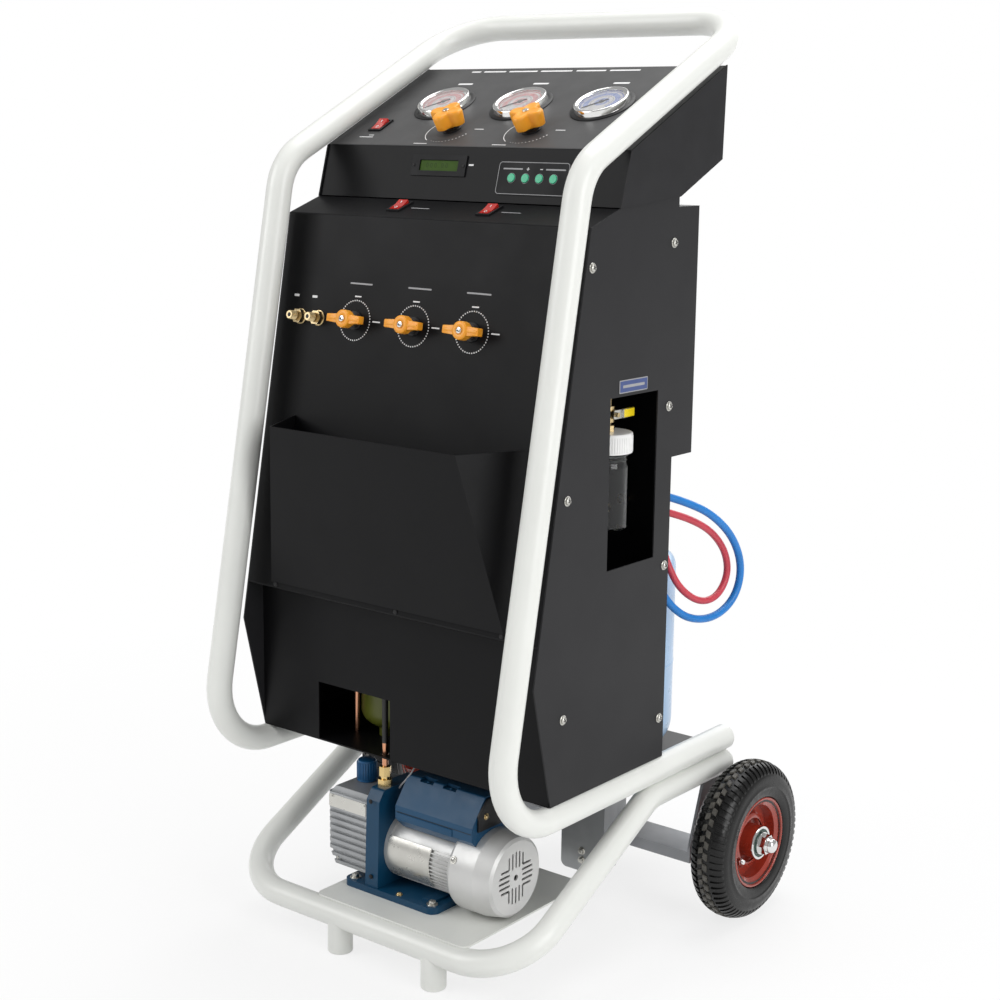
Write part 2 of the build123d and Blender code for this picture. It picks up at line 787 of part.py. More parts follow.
def rear_panel():
    """The rear sheet folded forward into the floor, with side flanges."""
    front = lower_panel_y + seat_gap
    top = cabinet_top_height - sheet * roof_slope - seat_gap
    path = [(front, cabinet_foot), (cabinet_rear_y, cabinet_foot), (cabinet_rear_y, top)]
    panel = folded_sheet(path, sheet, (-inner_half, inner_half))
    flange = block((inner_half - sheet, inner_half), (cabinet_rear_y - 20, cabinet_rear_y - sheet / 2),
                   (cabinet_foot + sheet / 2, cabinet_top_height - 12))
    panel += flange
    panel += mirror_x(flange)
    pipe_y = pump_y - pump_bracket_depth / 2 + suction_behind_bracket_front
    panel -= rod_z(pipe_r + 2, suction_x, pipe_y, (cabinet_foot - 1, cabinet_foot + sheet + 1))
    for place in hose_outlets():
        panel -= rod_on(place, fitting_r - 2 + running_gap, -sheet - 1, 1)
    return panel


def hose_outlets():
    """Where the hoses leave the rear panel, with local z pointing to the rear."""
    return [Plane(origin=(x, cabinet_rear_y, z), x_dir=(1, 0, 0), z_dir=(0, 1, 0))
            for x, z in zip(hose_fitting_x, hose_fitting_height)]


def rear_box():
    """The shallow box on the rear panel."""
    y = (cabinet_rear_y, cabinet_rear_y + rear_box_depth)
    box = block((-cabinet_half, cabinet_half), y, rear_box_height)
    outer_edges = box.edges().filter_by(Axis.Z).group_by(Axis.Y)[-1]
    box = fillet(outer_edges, 3.0)
    box -= block((-inner_half, inner_half), (y[0] - 1, y[1] - sheet),
                 (rear_box_height[0] + sheet, rear_box_height[1] - sheet))
    return box


def console_housing():
    """Cheeks, underside and back of the console."""
    foot = (console_foot_y, console_foot_height)
    front = (console_front_y, console_front_height)
    rear = (console_rear_y, console_rear_height)
    low_rear = (console_rear_y - console_rear_lean, console_rear_height - console_rear_drop)
    roof = (cabinet_rear_y, cabinet_top_height)
    cheek_plate = side_profile([foot, front, rear, low_rear, roof], (console_half - cheek, console_half))
    floor_start = console_foot_y + 3 * sheet
    start = (floor_start, console_foot_height + (floor_start - console_foot_y) * roof_slope)
    back_gap = 2 * sheet + seat_gap
    back_top = (rear[0] - console_rear_lean * back_gap / console_rear_drop, rear[1] - back_gap)
    half = console_half - cheek / 2
    tray = folded_sheet([start, roof, low_rear, back_top], sheet, (-half, half))
    return tray + cheek_plate + mirror_x(cheek_plate)


def control_panel_sheet():
    """The folded sheet of the console's front and top, between the cheeks."""
    foot = mitred([(console_foot_y, console_foot_height), (console_front_y, console_front_height)],
                  -console_recess)
    along = Vector(console_front_y - console_foot_y, console_front_height - console_foot_height)
    top = Vector(console_rear_y - console_front_y, console_rear_height - console_front_height)
    unit = top.normalized()
    start = Vector(*foot[0]) + along.normalized() * sheet
    corner_gap = (Vector(console_front_y, console_front_height) - start)
    reach = corner_gap.dot(Vector(-unit.Y, unit.X)) / along.normalized().dot(Vector(-unit.Y, unit.X))
    corner = start + along.normalized() * reach
    rear = Vector(console_rear_y, console_rear_height) - unit * sheet
    half = console_half - cheek
    path = [(start.X, start.Y), (corner.X, corner.Y), (rear.X, rear.Y)]
    path = [(y, z) for y, z in reversed(path)]
    return folded_sheet(path, sheet, (-half, half))


def gauge_places():
    return [here(console_top, x, gauge_up) for x in (-gauge_pitch, 0, gauge_pitch)]


def knob_places():
    return [here(console_top, x, knob_up) for x in (-knob_x, knob_x)]


def lever_places():
    return [here(front_face, x, front_up(lever_height)) for x in lever_x]


def switch_places():
    places = [here(console_top, *power_switch_place)]
    return places + [here(ledge_face, x, ledge_switch_up) for x in ledge_switch_x]


def button_places():
    first = keypad_x - 1.5 * button_pitch
    return [here(console_front, first + i * button_pitch, keypad_up) for i in range(4)]


def control_panel():
    """The control panel with its holes."""
    panel = control_panel_sheet()
    for place in gauge_places():
        panel -= rod_on(place, gauge_case_r + seat_gap, -6, 6)
    for place in knob_places():
        panel -= rod_on(place, bushing_r + running_gap, -6, 6)
    panel -= block_on(switch_places()[0], *switch_hole())
    half_x, half_y = display_window[0] / 2 + 3, display_window[1] / 2 + 3
    panel -= block_on(here(console_front, display_x, display_up), (-half_x, half_x),
                      (-half_y, half_y), (-6, 6))
    for place in button_places():
        panel -= rod_on(place, button_d / 2 + 0.4, -6, 6)
    return panel


# Gauges, knobs, levers and switches

def gauge_cases():
    """Cup with bezel, and the dial plate with the pointer's pin, for each gauge."""
    pieces = []
    for place in gauge_places():
        cup = rod_on(place, gauge_case_r, -gauge_case_depth, 0.5)
        cup += rod_on(place, gauge_r, 0, gauge_bezel_height)
        rim_edge = cup.edges().filter_by(GeomType.CIRCLE).sort_by(
            lambda edge: (edge.arc_center - place.origin).dot(place.z_dir))[-1]
        cup = fillet(rim_edge, 2.5)
        cup -= rod_on(place, gauge_case_r - gauge_wall, -gauge_case_depth + gauge_wall, 20)
        seat = rod_on(place, gauge_case_r - gauge_wall + 0.5, -1.5,
                      gauge_bezel_height - dial_drop - 1.0, gauge_case_r - gauge_wall - 3)
        cup += seat
        lens_seat = rod_on(place, gauge_case_r - gauge_wall + 0.5, gauge_bezel_height - dial_drop,
                           gauge_bezel_height - 2.5, gauge_case_r - gauge_wall - 1)
        cup += lens_seat
        dial_top = gauge_bezel_height - dial_drop
        dial = rod_on(place, gauge_case_r - gauge_wall - running_gap, dial_top - 1.0, dial_top)
        dial += rod_on(place, needle_pin_r, dial_top, dial_top + 1.4)
        pieces += [cup, dial]
    return Compound(pieces)


def gauge_lenses():
    lenses = []
    for place in gauge_places():
        low = gauge_bezel_height - 2.5
        lenses.append(rod_on(place, gauge_case_r - gauge_wall - running_gap, low, low + gauge_lens))
    return Compound(lenses)


def gauge_needle(place):
    """A pointer on its pin, resting at the start of the scale."""
    low = gauge_bezel_height - dial_drop + 0.3
    turned = Plane(place.location * Rot(0, 0, needle_rest_angle))
    outline = Polygon((-needle_tail, -1.4), (0, -1.0), (needle_length, -0.3), (needle_length, 0.3),
                      (0, 1.0), (-needle_tail, 1.4), align=None)
    needle = extrude(turned.offset(low) * outline, amount=needle_thickness)
    needle += rod_on(turned, 3.2, low, low + needle_thickness)
    return needle - rod_on(turned, needle_pin_r + running_gap, low - 1, low + 3)


def pressure_knob(place):
    """A four-lobed knob with its stem in the panel bushing."""
    lobes = Circle(knob_lobe_width * 0.72)
    for angle in (0, 90):
        lobes += Rot(0, 0, angle) * SlotOverall(knob_lobe_r * 2, knob_lobe_width)
    body = extrude(place.offset(knob_lift) * lobes, amount=knob_height)
    top = body.faces().sort_by(lambda face: (face.center() - place.origin).dot(place.z_dir))[-1]
    body = chamfer(top.edges(), 1.2)
    neck = rod_on(place, 7.0, knob_lift - 3, knob_lift)
    stem = rod_on(place, stem_r, -18, knob_lift)
    screw = rod_on(place, 3.5, knob_lift + knob_height, knob_lift + knob_height + 1.2)
    return body + neck + stem + screw


def valve_lever(place):
    """A two-armed lever handle with its stem in the panel bushing."""
    arms = Rectangle(lever_length, lever_arm)
    section = arms + Circle(lever_hub_r)
    body = extrude(place.offset(lever_lift) * section, amount=lever_depth)
    top = body.faces().sort_by(lambda face: (face.center() - place.origin).dot(place.z_dir))[-1]
    body = chamfer(top.edges(), 1.0)
    neck = rod_on(place, 7.0, 4.5, lever_lift)
    stem = rod_on(place, stem_r, -18, lever_lift)
    screw = rod_on(place, 3.2, lever_lift + lever_depth, lever_lift + lever_depth + 1.2)
    return body + neck + stem + screw


def panel_fittings():
    """Brass behind and through the panels: five valves with bushings and two service ports."""
    pieces = []
    for place in lever_places() + knob_places():
        half = valve_block / 2
        body = block_on(place, (-half, half), (-half, half), (-sheet - valve_depth, -sheet))
        body = chamfer(body.edges(), 2.0)
        body += rod_on(place, bushing_r, -sheet - 1, 3.0)
        body -= rod_on(place, stem_r + running_gap, -18 - running_gap, 8)
        pieces.append(body)
    for x in port_x:
        place = here(front_face, x, front_up(port_height))
        port = hexagon_on(place, port_hex_flats, 0, port_hex_length)
        port += rod_on(place, port_stem_r, -port_tail, port_hex_length)
        port += rod_on(place, port_collar_r, port_hex_length, port_hex_length + port_collar_length)
        port += rod_on(place, port_neck_r, port_hex_length, port_length)
        port += rod_on(place, port_stem_r, port_length - port_tip_length, port_length)
        port += hexagon_on(place, port_hex_flats, -sheet - port_nut_length, -sheet)
        port -= rod_on(place, port_bore_r, port_length - port_bore_depth, port_length + 1)
        pieces.append(port)
    return Compound(pieces)


def switch_housings():
    """Bezel and body of the three rocker switches."""
    pieces = []
    half_x, half_y = switch_size[0] / 2, switch_size[1] / 2
    pin = rocker_pin()
    for place in switch_places():
        frame = block_on(place, (-half_x, half_x), (-half_y, half_y), (0, switch_frame_lift))
        body = block_on(place, (-half_x + switch_lip, half_x - switch_lip),
                        (-half_y + switch_lip, half_y - switch_lip), (-switch_body_depth, 0))
        inner_x = rocker_size[0] / 2 + seat_gap
        inner_y = rocker_size[1] / 2 + rocker_swing_room
        well = block_on(place, (-inner_x, inner_x), (-inner_y, inner_y), (-9, 10))
        pivot = rod_on(Plane(place.location * Pos(-inner_x, 0, pin) * Rot(0, 90, 0)), 1.2, 0, inner_x * 2)
        pieces.append(frame + body - well + pivot)
    return Compound(pieces)


def rocker_pin():
    """Height of the rocker's pivot over its panel."""
    return -3.0


def rocker(place):
    """A rocker with its hollowed top and cut-back foot, tipped to its rest side."""
    half_y = rocker_size[1] / 2
    pin = rocker_pin()
    crest = switch_frame_lift + 2.5
    x = (-rocker_size[0] / 2, rocker_size[0] / 2)
    outline = [(-half_y * 0.5, -4.5), (half_y * 0.5, -4.5), (half_y, 0.5), (half_y, crest),
               (-half_y, crest), (-half_y, 0.5)]
    body = profile_on(place, outline, x)
    dish_r = 60.0
    across = Plane(place.location * Pos(x[0] - 1, 0, crest - 1.2 + dish_r) * Rot(0, 90, 0))
    body -= rod_on(across, dish_r, 0, rocker_size[0] + 2)
    pivot = Plane(place.location * Pos(x[0] - 1, 0, pin) * Rot(0, 90, 0))
    body -= rod_on(pivot, 1.2 + running_gap, 0, rocker_size[0] + 2)
    return body.rotate(Axis(pivot.origin, pivot.z_dir), rocker_tip_angle)


def display_module():
    """Display frame, its window and the control board behind it."""
    place = here(console_front, display_x, display_up)
    half_x, half_y = display_frame[0] / 2, display_frame[1] / 2
    win_x, win_y = display_window[0] / 2, display_window[1] / 2
    frame = block_on(place, (-half_x, half_x), (-half_y, half_y), (0, display_lift))
    frame -= block_on(place, (-win_x, win_x), (-win_y, win_y), (-1, display_lift + 1))
    glass_x, glass_y = win_x + display_margin, win_y + display_margin
    glass = block_on(place, (-glass_x, glass_x), (-glass_y, glass_y), (-display_glass, 0))
    board_x, board_y = board_size[0] / 2, board_size[1] / 2
    board = block_on(place, (-board_x, board_x), (-board_y, board_y),
                     (-display_glass - board_thickness, -display_glass))
    return Compound([frame, glass, board])


def keypad_plate():
    place = here(console_front, keypad_x, keypad_up)
    half_x, half_y = keypad_size[0] / 2, keypad_size[1] / 2
    plate = extrude(place * RectangleRounded(half_x * 2, half_y * 2, 5), amount=keypad_thickness)
    for button in button_places():
        plate -= rod_on(button, button_d / 2 + 0.4, -1, 3)
    backing_foot = -keypad_well_depth - keypad_backing
    backing = block_on(place, (-half_x + 8, half_x - 8), (-10, 10), (backing_foot, -keypad_well_depth))
    for button in button_places():
        backing -= rod_on(button, button_stem_r + running_gap, backing_foot - 1, 1 - keypad_well_depth)
    for x in (-1, 1):
        post = block_on(place, (x * (half_x - 12) - 3, x * (half_x - 12) + 3), (-4, 4),
                        (-keypad_well_depth, -sheet))
        backing += post
    return Compound([plate, backing])


def keypad_button(place):
    """A button cap on the stem that guides it through the backing."""
    cap_foot = button_travel + button_spring_room - keypad_well_depth
    cap = rod_on(place, button_d / 2, cap_foot, keypad_thickness + button_lift)
    top = cap.faces().sort_by(lambda face: (face.center() - place.origin).dot(place.z_dir))[-1]
    cap = fillet(top.edges(), 0.8)
    stem_foot = -keypad_well_depth - keypad_backing - button_stem_tail
    return cap + rod_on(place, button_stem_r, stem_foot, cap_foot)


# Oil bottle

def oil_jar():
    """The clear jar as one turned profile."""
    foot, shoulder, top = jar_foot_height, jar_shoulder_height, jar_top_height
    outer = [(0, foot), (jar_r - 3, foot), (jar_r, foot + 3), (jar_r, shoulder - 6),
             (jar_neck_r, shoulder), (jar_neck_r, top), (jar_neck_r - jar_wall, top),
             (jar_neck_r - jar_wall, shoulder - 1), (jar_r - jar_wall, shoulder - 7),
             (jar_r - jar_wall, foot + 4), (jar_r - jar_wall - 3, foot + jar_wall), (0, foot + jar_wall)]
    return Pos(jar_x, jar_y, 0) * revolve(Plane.XZ * Polygon(*outer, align=None), axis=Axis.Z)


def jar_cap():
    low, high = cap_height
    cap = rod_z(cap_r, jar_x, jar_y, (low, high))
    cap = fillet(cap.edges().sort_by(Axis.Z)[-1], 2.0)
    cap -= rod_z(jar_neck_r + seat_gap, jar_x, jar_y, (low - 1, jar_top_height + seat_gap))
    return cap - rod_z(2.5, jar_x, jar_y, (low, high + 1))


def oil_valve():
    """Brass valve between the bay's top lip and the jar cap."""
    top = bay_height[1]
    low = cap_height[1]
    place = Plane(origin=(jar_x, jar_y, oil_valve_height), x_dir=(0, 1, 0), z_dir=(1, 0, 0))
    up = Plane(origin=(jar_x, jar_y, 0))
    body = hexagon_on(up, 17.0, low, low + 8) + rod_z(oil_pipe_r, jar_x, jar_y, (low, top + 14))
    body += rod_z(oil_body_r, jar_x, jar_y, (oil_valve_height - 10, oil_valve_height + 10))
    gland_end = oil_body_r + oil_gland_length
    body += rod_on(place, 6.0, 0, gland_end)
    body += rod_on(place, 3.0, gland_end, gland_end + 6)
    body += hexagon_on(up, 17.0, top - 6, top - 0.0)
    nut = hexagon_on(up, 17.0, top + sheet, top + sheet + 6)
    return body + nut - rod_z(2.5, jar_x, jar_y, (low - 1, low + 10))


def oil_valve_handle():
    """The lever of the oil valve, cranked and pointing to the rear at rest."""
    start = oil_lever_start
    half = oil_lever_width / 2
    z = (oil_valve_height - half, oil_valve_height + half)
    lever = block((start, start + oil_lever_thickness), (jar_y - half, jar_y + oil_lever_length), z)
    lever = fillet(lever.edges().filter_by(Axis.X), 3.0)
    grip = block((start - oil_grip_proud, start + oil_lever_thickness + oil_grip_proud),
                 (jar_y + oil_lever_length - oil_grip_length, jar_y + oil_lever_length), z)
    lever += fillet(grip.edges().filter_by(Axis.X), 3.0)
    return lever - rod_x(3.0 + running_gap, (start - 2, start + 5), jar_y, oil_valve_height)


# Refrigerant cylinder and its scale

def refrigerant_cylinder():
    """The pressure cylinder with its foot ring, turned about its axis."""
    foot, shoulder, top = cylinder_foot_height, cylinder_shoulder_height, cylinder_top_height
    r = cylinder_r
    with BuildSketch(Plane.XZ) as section:
        with BuildLine():
            Polyline((0, foot + 12), (foot_ring_r - 3, foot + 12), (foot_ring_r - 3, foot),
                     (foot_ring_r, foot), (foot_ring_r, foot + 12))
            Spline((foot_ring_r, foot + 12), (r - 6, foot + 24), (r, foot + 48),
                   tangents=((1, 0.2), (0, 1)))
            Line((r, foot + 48), (r, shoulder))
            Spline((r, shoulder), (r * 0.72, shoulder + (top - shoulder) * 0.72), (neck_r + 8, top),
                   tangents=((0, 1), (-1, 0.1)))
            Polyline((neck_r + 8, top), (neck_r, top + 2), (0, top + 2), (0, foot + 12))
        make_face()
    return Pos(cylinder_x, cylinder_y, 0) * revolve(section.sketch, axis=Axis.Z)


def cylinder_valves():
    """The twin valve on the cylinder's neck, with two spindles and two ports."""
    low = cylinder_top_height + 2
    top = low + valve_body_height - 12
    x, y = cylinder_x, cylinder_y
    body = rod_z(neck_r - 2, x, y, (low, low + 16))
    head = block((x - 15, x + 15), (y - handwheel_spread, y + handwheel_spread), (low + 12, top))
    body += fillet(head.edges().filter_by(Axis.Z), 8.0)
    for side in (-1, 1):
        spindle_y = y + side * (handwheel_spread - 11)
        body += rod_z(4.0, x, spindle_y, (top, top + 14))
        port_z = low + valve_port_lift
        body += rod_x(6.0, (x + 15, x + valve_port_reach), spindle_y, port_z)
    return body


def handwheel(side):
    """A scalloped handwheel on one spindle."""
    low = cylinder_top_height + 2 + valve_body_height - 12 + seat_gap + 2
    x, y = cylinder_x, cylinder_y + side * (handwheel_spread - 11)
    wheel = Circle(handwheel_r * 0.78)
    for i in range(6):
        wheel -= Rot(0, 0, i * 60) * Pos(handwheel_r * 0.95, 0) * Circle(4.0)
    shape = extrude(Pos(x, y, low) * wheel, amount=handwheel_height)
    return shape - rod_z(4.0 + running_gap, x, y, (low - 1, low + 13))


def scale_platform():
    """Platform tray, load cell with its spacer, and the bracket under the cabinet floor."""
    half = tray_size / 2
    tray_top = cylinder_foot_height
    x = (cylinder_x - half, cylinder_x + half)
    y = (cylinder_y - half, cylinder_y + half)
    tray = block(x, y, (tray_top - tray_height, tray_top))
    tray = fillet(tray.edges().filter_by(Axis.Z), 12.0)
    tray -= block((x[0] + sheet, x[1] - sheet), (y[0] + sheet, y[1] - sheet),
                  (tray_top - tray_height - 1, tray_top - sheet))
    web_y = cabinet_rear_y - 6.0
    web = block(bracket_x, (web_y, web_y + sheet), (bracket_foot_height, cabinet_foot))
    corners = web.edges().filter_by(Axis.Y).group_by(Axis.Z)[0]
    web = fillet(corners, 9.0)
    bracket = web + block(bracket_x, (web_y - 24, web_y + sheet), (cabinet_foot - sheet, cabinet_foot))
    for edge_x in (bracket_x[0], bracket_x[1] - sheet):
        bracket += block((edge_x, edge_x + sheet), (web_y, web_y + bracket_flange),
                         (bracket_foot_height + 9, tray_top - tray_height - sheet))
    cell_y = (web_y + sheet, web_y + sheet + cell_length)
    cell = block((cell_x - cell_width / 2, cell_x + cell_width / 2), cell_y,
                 (cell_foot_height, cell_foot_height + cell_height))
    hole_y = (cell_y[0] + cell_y[1]) / 2
    for offset in (-8, 8):
        cell -= rod_x(7.0, (cell_x - cell_width, cell_x + cell_width), hole_y + offset,
                      cell_foot_height + cell_height / 2)
    spacer = block((cell_x - cell_width / 2, cell_x + cell_width / 2), (cell_y[1] - 24, cell_y[1]),
                   (cell_foot_height + cell_height, tray_top - sheet))
    return Compound([tray, bracket, cell, spacer])


# Hoses

def arc_radii(route):
    """The bend radius at each inner point: the largest that both of its runs allow."""
    radii = []
    for before, point, after in zip(route, route[1:], route[2:]):
        first = Vector(*point) - Vector(*before)
        second = Vector(*after) - Vector(*point)
        turn = math.radians(first.get_angle(second))
        radii.append(0.45 * min(first.length, second.length) / math.tan(turn / 2))
    return radii


def hose(name, route, diameter):
    """A hose as straight runs joined by tangent arcs."""
    radii = arc_radii(route)
    print(name, "bend radii", [round(radius) for radius in radii])
    path = FilletPolyline(*route, radius=radii)
    section = Plane(origin=path @ 0, z_dir=path % 0) * Circle(diameter / 2)
    return sweep(section, path=path)


def hose_fittings():
    """The four end fittings of the hoses."""
    pieces = []
    for place in hose_outlets():
        piece = hexagon_on(place, fitting_r * 2 + 1, 0, fitting_nut_length)
        piece += rod_on(place, fitting_r, fitting_nut_length, fitting_length)
        piece += rod_on(place, fitting_r - 2, -sheet - fitting_tail, 1)
        pieces.append(piece)
    port_z = cylinder_top_height + 2 + valve_port_lift
    for side in (-1, 1):
        y = cylinder_y + side * (handwheel_spread - 11)
        start = cylinder_x + valve_port_reach
        place = Plane(origin=(0, y, port_z), x_dir=(0, 1, 0), z_dir=(1, 0, 0))
        piece = hexagon_on(place, fitting_r * 2 + 1, start, start + 9)
        piece += rod_on(place, fitting_r - 0.5, start + 9, start + 16)
        pieces.append(piece)
    return Compound(pieces)


# Vacuum pump

def pump_axis(x):
    """A plane across the pump's shaft at one x, with local z along the shaft."""
    return Plane(origin=(x, pump_y, pump_axis_height), x_dir=(0, 1, 0), z_dir=(1, 0, 0))


def pump_bracket():
    """The cast bracket and its base."""
    half = pump_base_depth / 2
    foot = shelf_top
    base = block(pump_base_x, (pump_y - half, pump_y + half), (foot, foot + pump_base_thickness))
    base = fillet(base.edges().filter_by(Axis.Z), 12.0)
    pad = block((pump_base_x[1] - 30, pump_base_x[1] - 12), (pump_y - half + 14, pump_y + half - 14),
                (foot, pump_axis_height - motor_r - seat_gap))
    reach = pump_bracket_depth / 2
    top = pump_bracket_top_height
    outline = [(pump_y - reach, foot), (pump_y + reach, foot), (pump_y + reach - 8, top - 22),
               (pump_y + reach - 30, top), (pump_y - reach + 14, top), (pump_y - reach + 4, top - 14)]
    wall = side_profile(outline, pump_bracket_x)
    wall = fillet(wall.edges().filter_by(Axis.X).group_by(Axis.Z)[-1], 6.0)
    bracket = base + pad + wall
    saddle = rod_x(motor_r + seat_gap, (pump_bracket_x[1], motor_end_x), pump_y, pump_axis_height)
    bore = rod_x(pump_shaft_r + running_gap, pump_bracket_x, pump_y, pump_axis_height)
    return bracket - saddle - bore


def pump_motor_body():
    """The ribbed motor barrel."""
    x = (pump_bracket_x[1], motor_end_x)
    barrel = rod_x(motor_r - motor_rib, x, pump_y, pump_axis_height)
    for i in range(motor_rib_count):
        angle = math.radians(200 + i * 140 / (motor_rib_count - 1))
        rib = Pos(0, 0, motor_r - motor_rib / 2 - 1) * Box(x[1] - x[0] - 16, 1.6, motor_rib + 2)
        turned = Rot(math.degrees(angle), 0, 0) * rib
        barrel += Pos((x[0] + x[1]) / 2, pump_y, pump_axis_height) * turned
    for end in (x[0], x[1] - 7):
        barrel += rod_x(motor_r, (end, end + 7), pump_y, pump_axis_height)
    return barrel - rod_x(pump_shaft_r + running_gap, x, pump_y, pump_axis_height)


def fan_cover_slots():
    """Four groups of slots, each group turned a quarter from the last."""
    slots = []
    for quarter in range(4):
        for i in range(5):
            reach = 17.0 if i in (0, 4) else 22.0
            slot = Pos(24.0 - abs(i - 2) * 1.0, (i - 2) * fan_slot_pitch) * SlotOverall(reach, fan_slot)
            slots.append(Rot(0, 0, quarter * 90) * slot)
    return slots


def pump_fan_cover():
    """The cover over the fan: a tapered cup with four groups of slots."""
    low, high = fan_cover_x
    wall = fan_cover_wall
    outer = [(low, 0), (low, fan_cover_r - 2), (low + 4, fan_cover_r), (high - 26, fan_cover_r),
             (high - 3, fan_cover_face_r + 2), (high, fan_cover_face_r - 2), (high, 0)]
    inner = [(low - 1, 0), (low - 1, fan_cover_r - wall - 1), (high - 27, fan_cover_r - wall - 1),
             (high - 3 - wall, fan_cover_face_r - 2), (high - wall, fan_cover_face_r - 5), (high - wall, 0)]
    cup = revolve(Plane.XZ * Polygon(*outer, align=None), axis=Axis.X)
    cup -= revolve(Plane.XZ * Polygon(*inner, align=None), axis=Axis.X)
    lip = revolve(Plane.XZ * Polygon((low, motor_r + seat_gap), (low, fan_cover_r - wall),
                                     (low + 2.5, fan_cover_r - wall), (low + 2.5, motor_r + seat_gap),
                                     align=None), axis=Axis.X)
    cup += lip
    cup = Pos(0, pump_y, pump_axis_height) * cup
    cup -= rod_on(pump_axis(high), 4.0, -wall - 1, 1)
    for slot in fan_cover_slots():
        cup -= extrude(pump_axis(high).offset(-wall - 1) * slot, amount=wall + 2)
    return cup


def pump_fan():
    """The fan and the shaft that carries it."""
    low = fan_cover_x[0] + 10
    high = fan_cover_x[1] - 14
    place = pump_axis(0)
    fan = rod_on(place, pump_shaft_r, pump_bracket_x[0] + 2, high)
    fan += rod_on(place, fan_hub_r, low, high)
    for i in range(fan_blade_count):
        blade = Pos((low + high) / 2, 0, (fan_hub_r + fan_r) / 2 - 1)
        blade *= Rot(0, 0, 28) * Box(high - low, fan_blade_thickness, fan_r - fan_hub_r + 2)
        turned = Rot(i * 360 / fan_blade_count, 0, 0) * blade
        fan += Pos(0, pump_y, pump_axis_height) * turned
    return fan


def pump_oil_casing():
    """The finned oil casing with its lid."""
    low_x, high_x = casing_x
    half = casing_depth / 2
    low, high = casing_height
    outline = [(low_x + 14, low), (high_x, low), (high_x, high), (low_x, high), (low_x, low + 24)]
    face = Plane.XZ.offset(-pump_y - half) * Polygon(*outline, align=None)
    body = extrude(face, amount=casing_depth, dir=(0, -1, 0))
    body = fillet(body.edges().filter_by(Axis.Z).group_by(Axis.X)[0], 6.0)
    pitch = (casing_fin_top_height - low) / casing_fin_count
    for i in range(casing_fin_count):
        z = (low + i * pitch + pitch * 0.5, low + (i + 1) * pitch)
        groove = block((low_x - 20, high_x - 4), (pump_y - half - 1, pump_y - half + casing_fin_depth), z)
        body -= groove
    lid = [(low_x + 3, high), (high_x - 2, high), (high_x - 2, high + casing_lid_height),
           (low_x + 12, high + casing_lid_height)]
    face = Plane.XZ.offset(-pump_y - half + 4) * Polygon(*lid, align=None)
    body += extrude(face, amount=casing_depth - 8, dir=(0, -1, 0))
    plate = block((casing_x[1], pump_bracket_x[0]), (pump_y - half + 2, pump_y + half - 2),
                  (low + 2, high - 4))
    neck = rod_z(filler_neck_r, filler_x, pump_y, (high, high + casing_lid_height + 14))
    return body + plate + neck


def pump_filler_cap():
    """The ribbed filler cap."""
    low = casing_height[1] + casing_lid_height + seat_gap
    cap = Circle(filler_cap_r)
    for i in range(12):
        cap -= Rot(0, 0, i * 30) * Pos(filler_cap_r + 0.6, 0) * Circle(1.8)
    shape = extrude(Pos(filler_x, pump_y, low) * cap, amount=filler_cap_height * 0.72)
    shape += rod_z(filler_cap_r * 0.6, filler_x, pump_y, (low, low + filler_cap_height))
    return shape - rod_z(filler_neck_r + seat_gap, filler_x, pump_y, (low - 1, low + 14 + seat_gap))


def pump_top_box():
    """The terminal box over the motor, with a sloped top and a curved seat on the barrel."""
    half = top_box_depth / 2
    low, high = top_box_height
    outline = [(pump_y - half + 16, low - 12), (pump_y + half - 16, low - 12), (pump_y + half, low + 8),
               (pump_y + half - 4, high), (pump_y - half + 26, high), (pump_y - half, low + 22),
               (pump_y - half, low + 4)]
    box = side_profile(outline, top_box_x)
    box = fillet(box.edges().filter_by(Axis.X), 3.0)
    cover_room = (fan_cover_x[0] - seat_gap, top_box_x[1] + 1)
    box -= rod_x(fan_cover_r + seat_gap, cover_room, pump_y, pump_axis_height)
    box -= rod_x(motor_r + seat_gap, (top_box_x[0] - 1, top_box_x[1]), pump_y, pump_axis_height)
    slot_y = pump_y - half + top_box_slot_setback
    for x in top_box_slot_x:
        box -= block((x, x + top_box_slot[0]), (slot_y, slot_y + top_box_slot[1]),
                     (high - top_box_slot_depth, high + 1))
    return box


def suction_line():
    """The brass inlet fitting on the bracket and the copper pipe that rises into the cabinet."""
    y = pump_y - pump_bracket_depth / 2 + suction_behind_bracket_front
    low = pump_bracket_top_height
    up = Plane(origin=(suction_x, y, 0))
    fitting = hexagon_on(up, suction_hex_flats, low, low + 9)
    fitting += rod_z(6.0, suction_x, y, (low, low + suction_fitting_length))
    fitting += hexagon_on(up, 14.0, low + 13, low + suction_fitting_length)
    fitting -= rod_z(pipe_r + running_gap, suction_x, y, (low + 12, low + suction_fitting_length + 1))
    top = low + pipe_rise
    route = [(suction_x, y, low + 12 + running_gap), (suction_x, y, top),
             (suction_x, y + pipe_sweep[0], top + pipe_sweep[1])]
    pipe = bent_tube(route, [pipe_bend_r], pipe_r * 2, pipe_wall)
    return Compound([fitting, pipe])


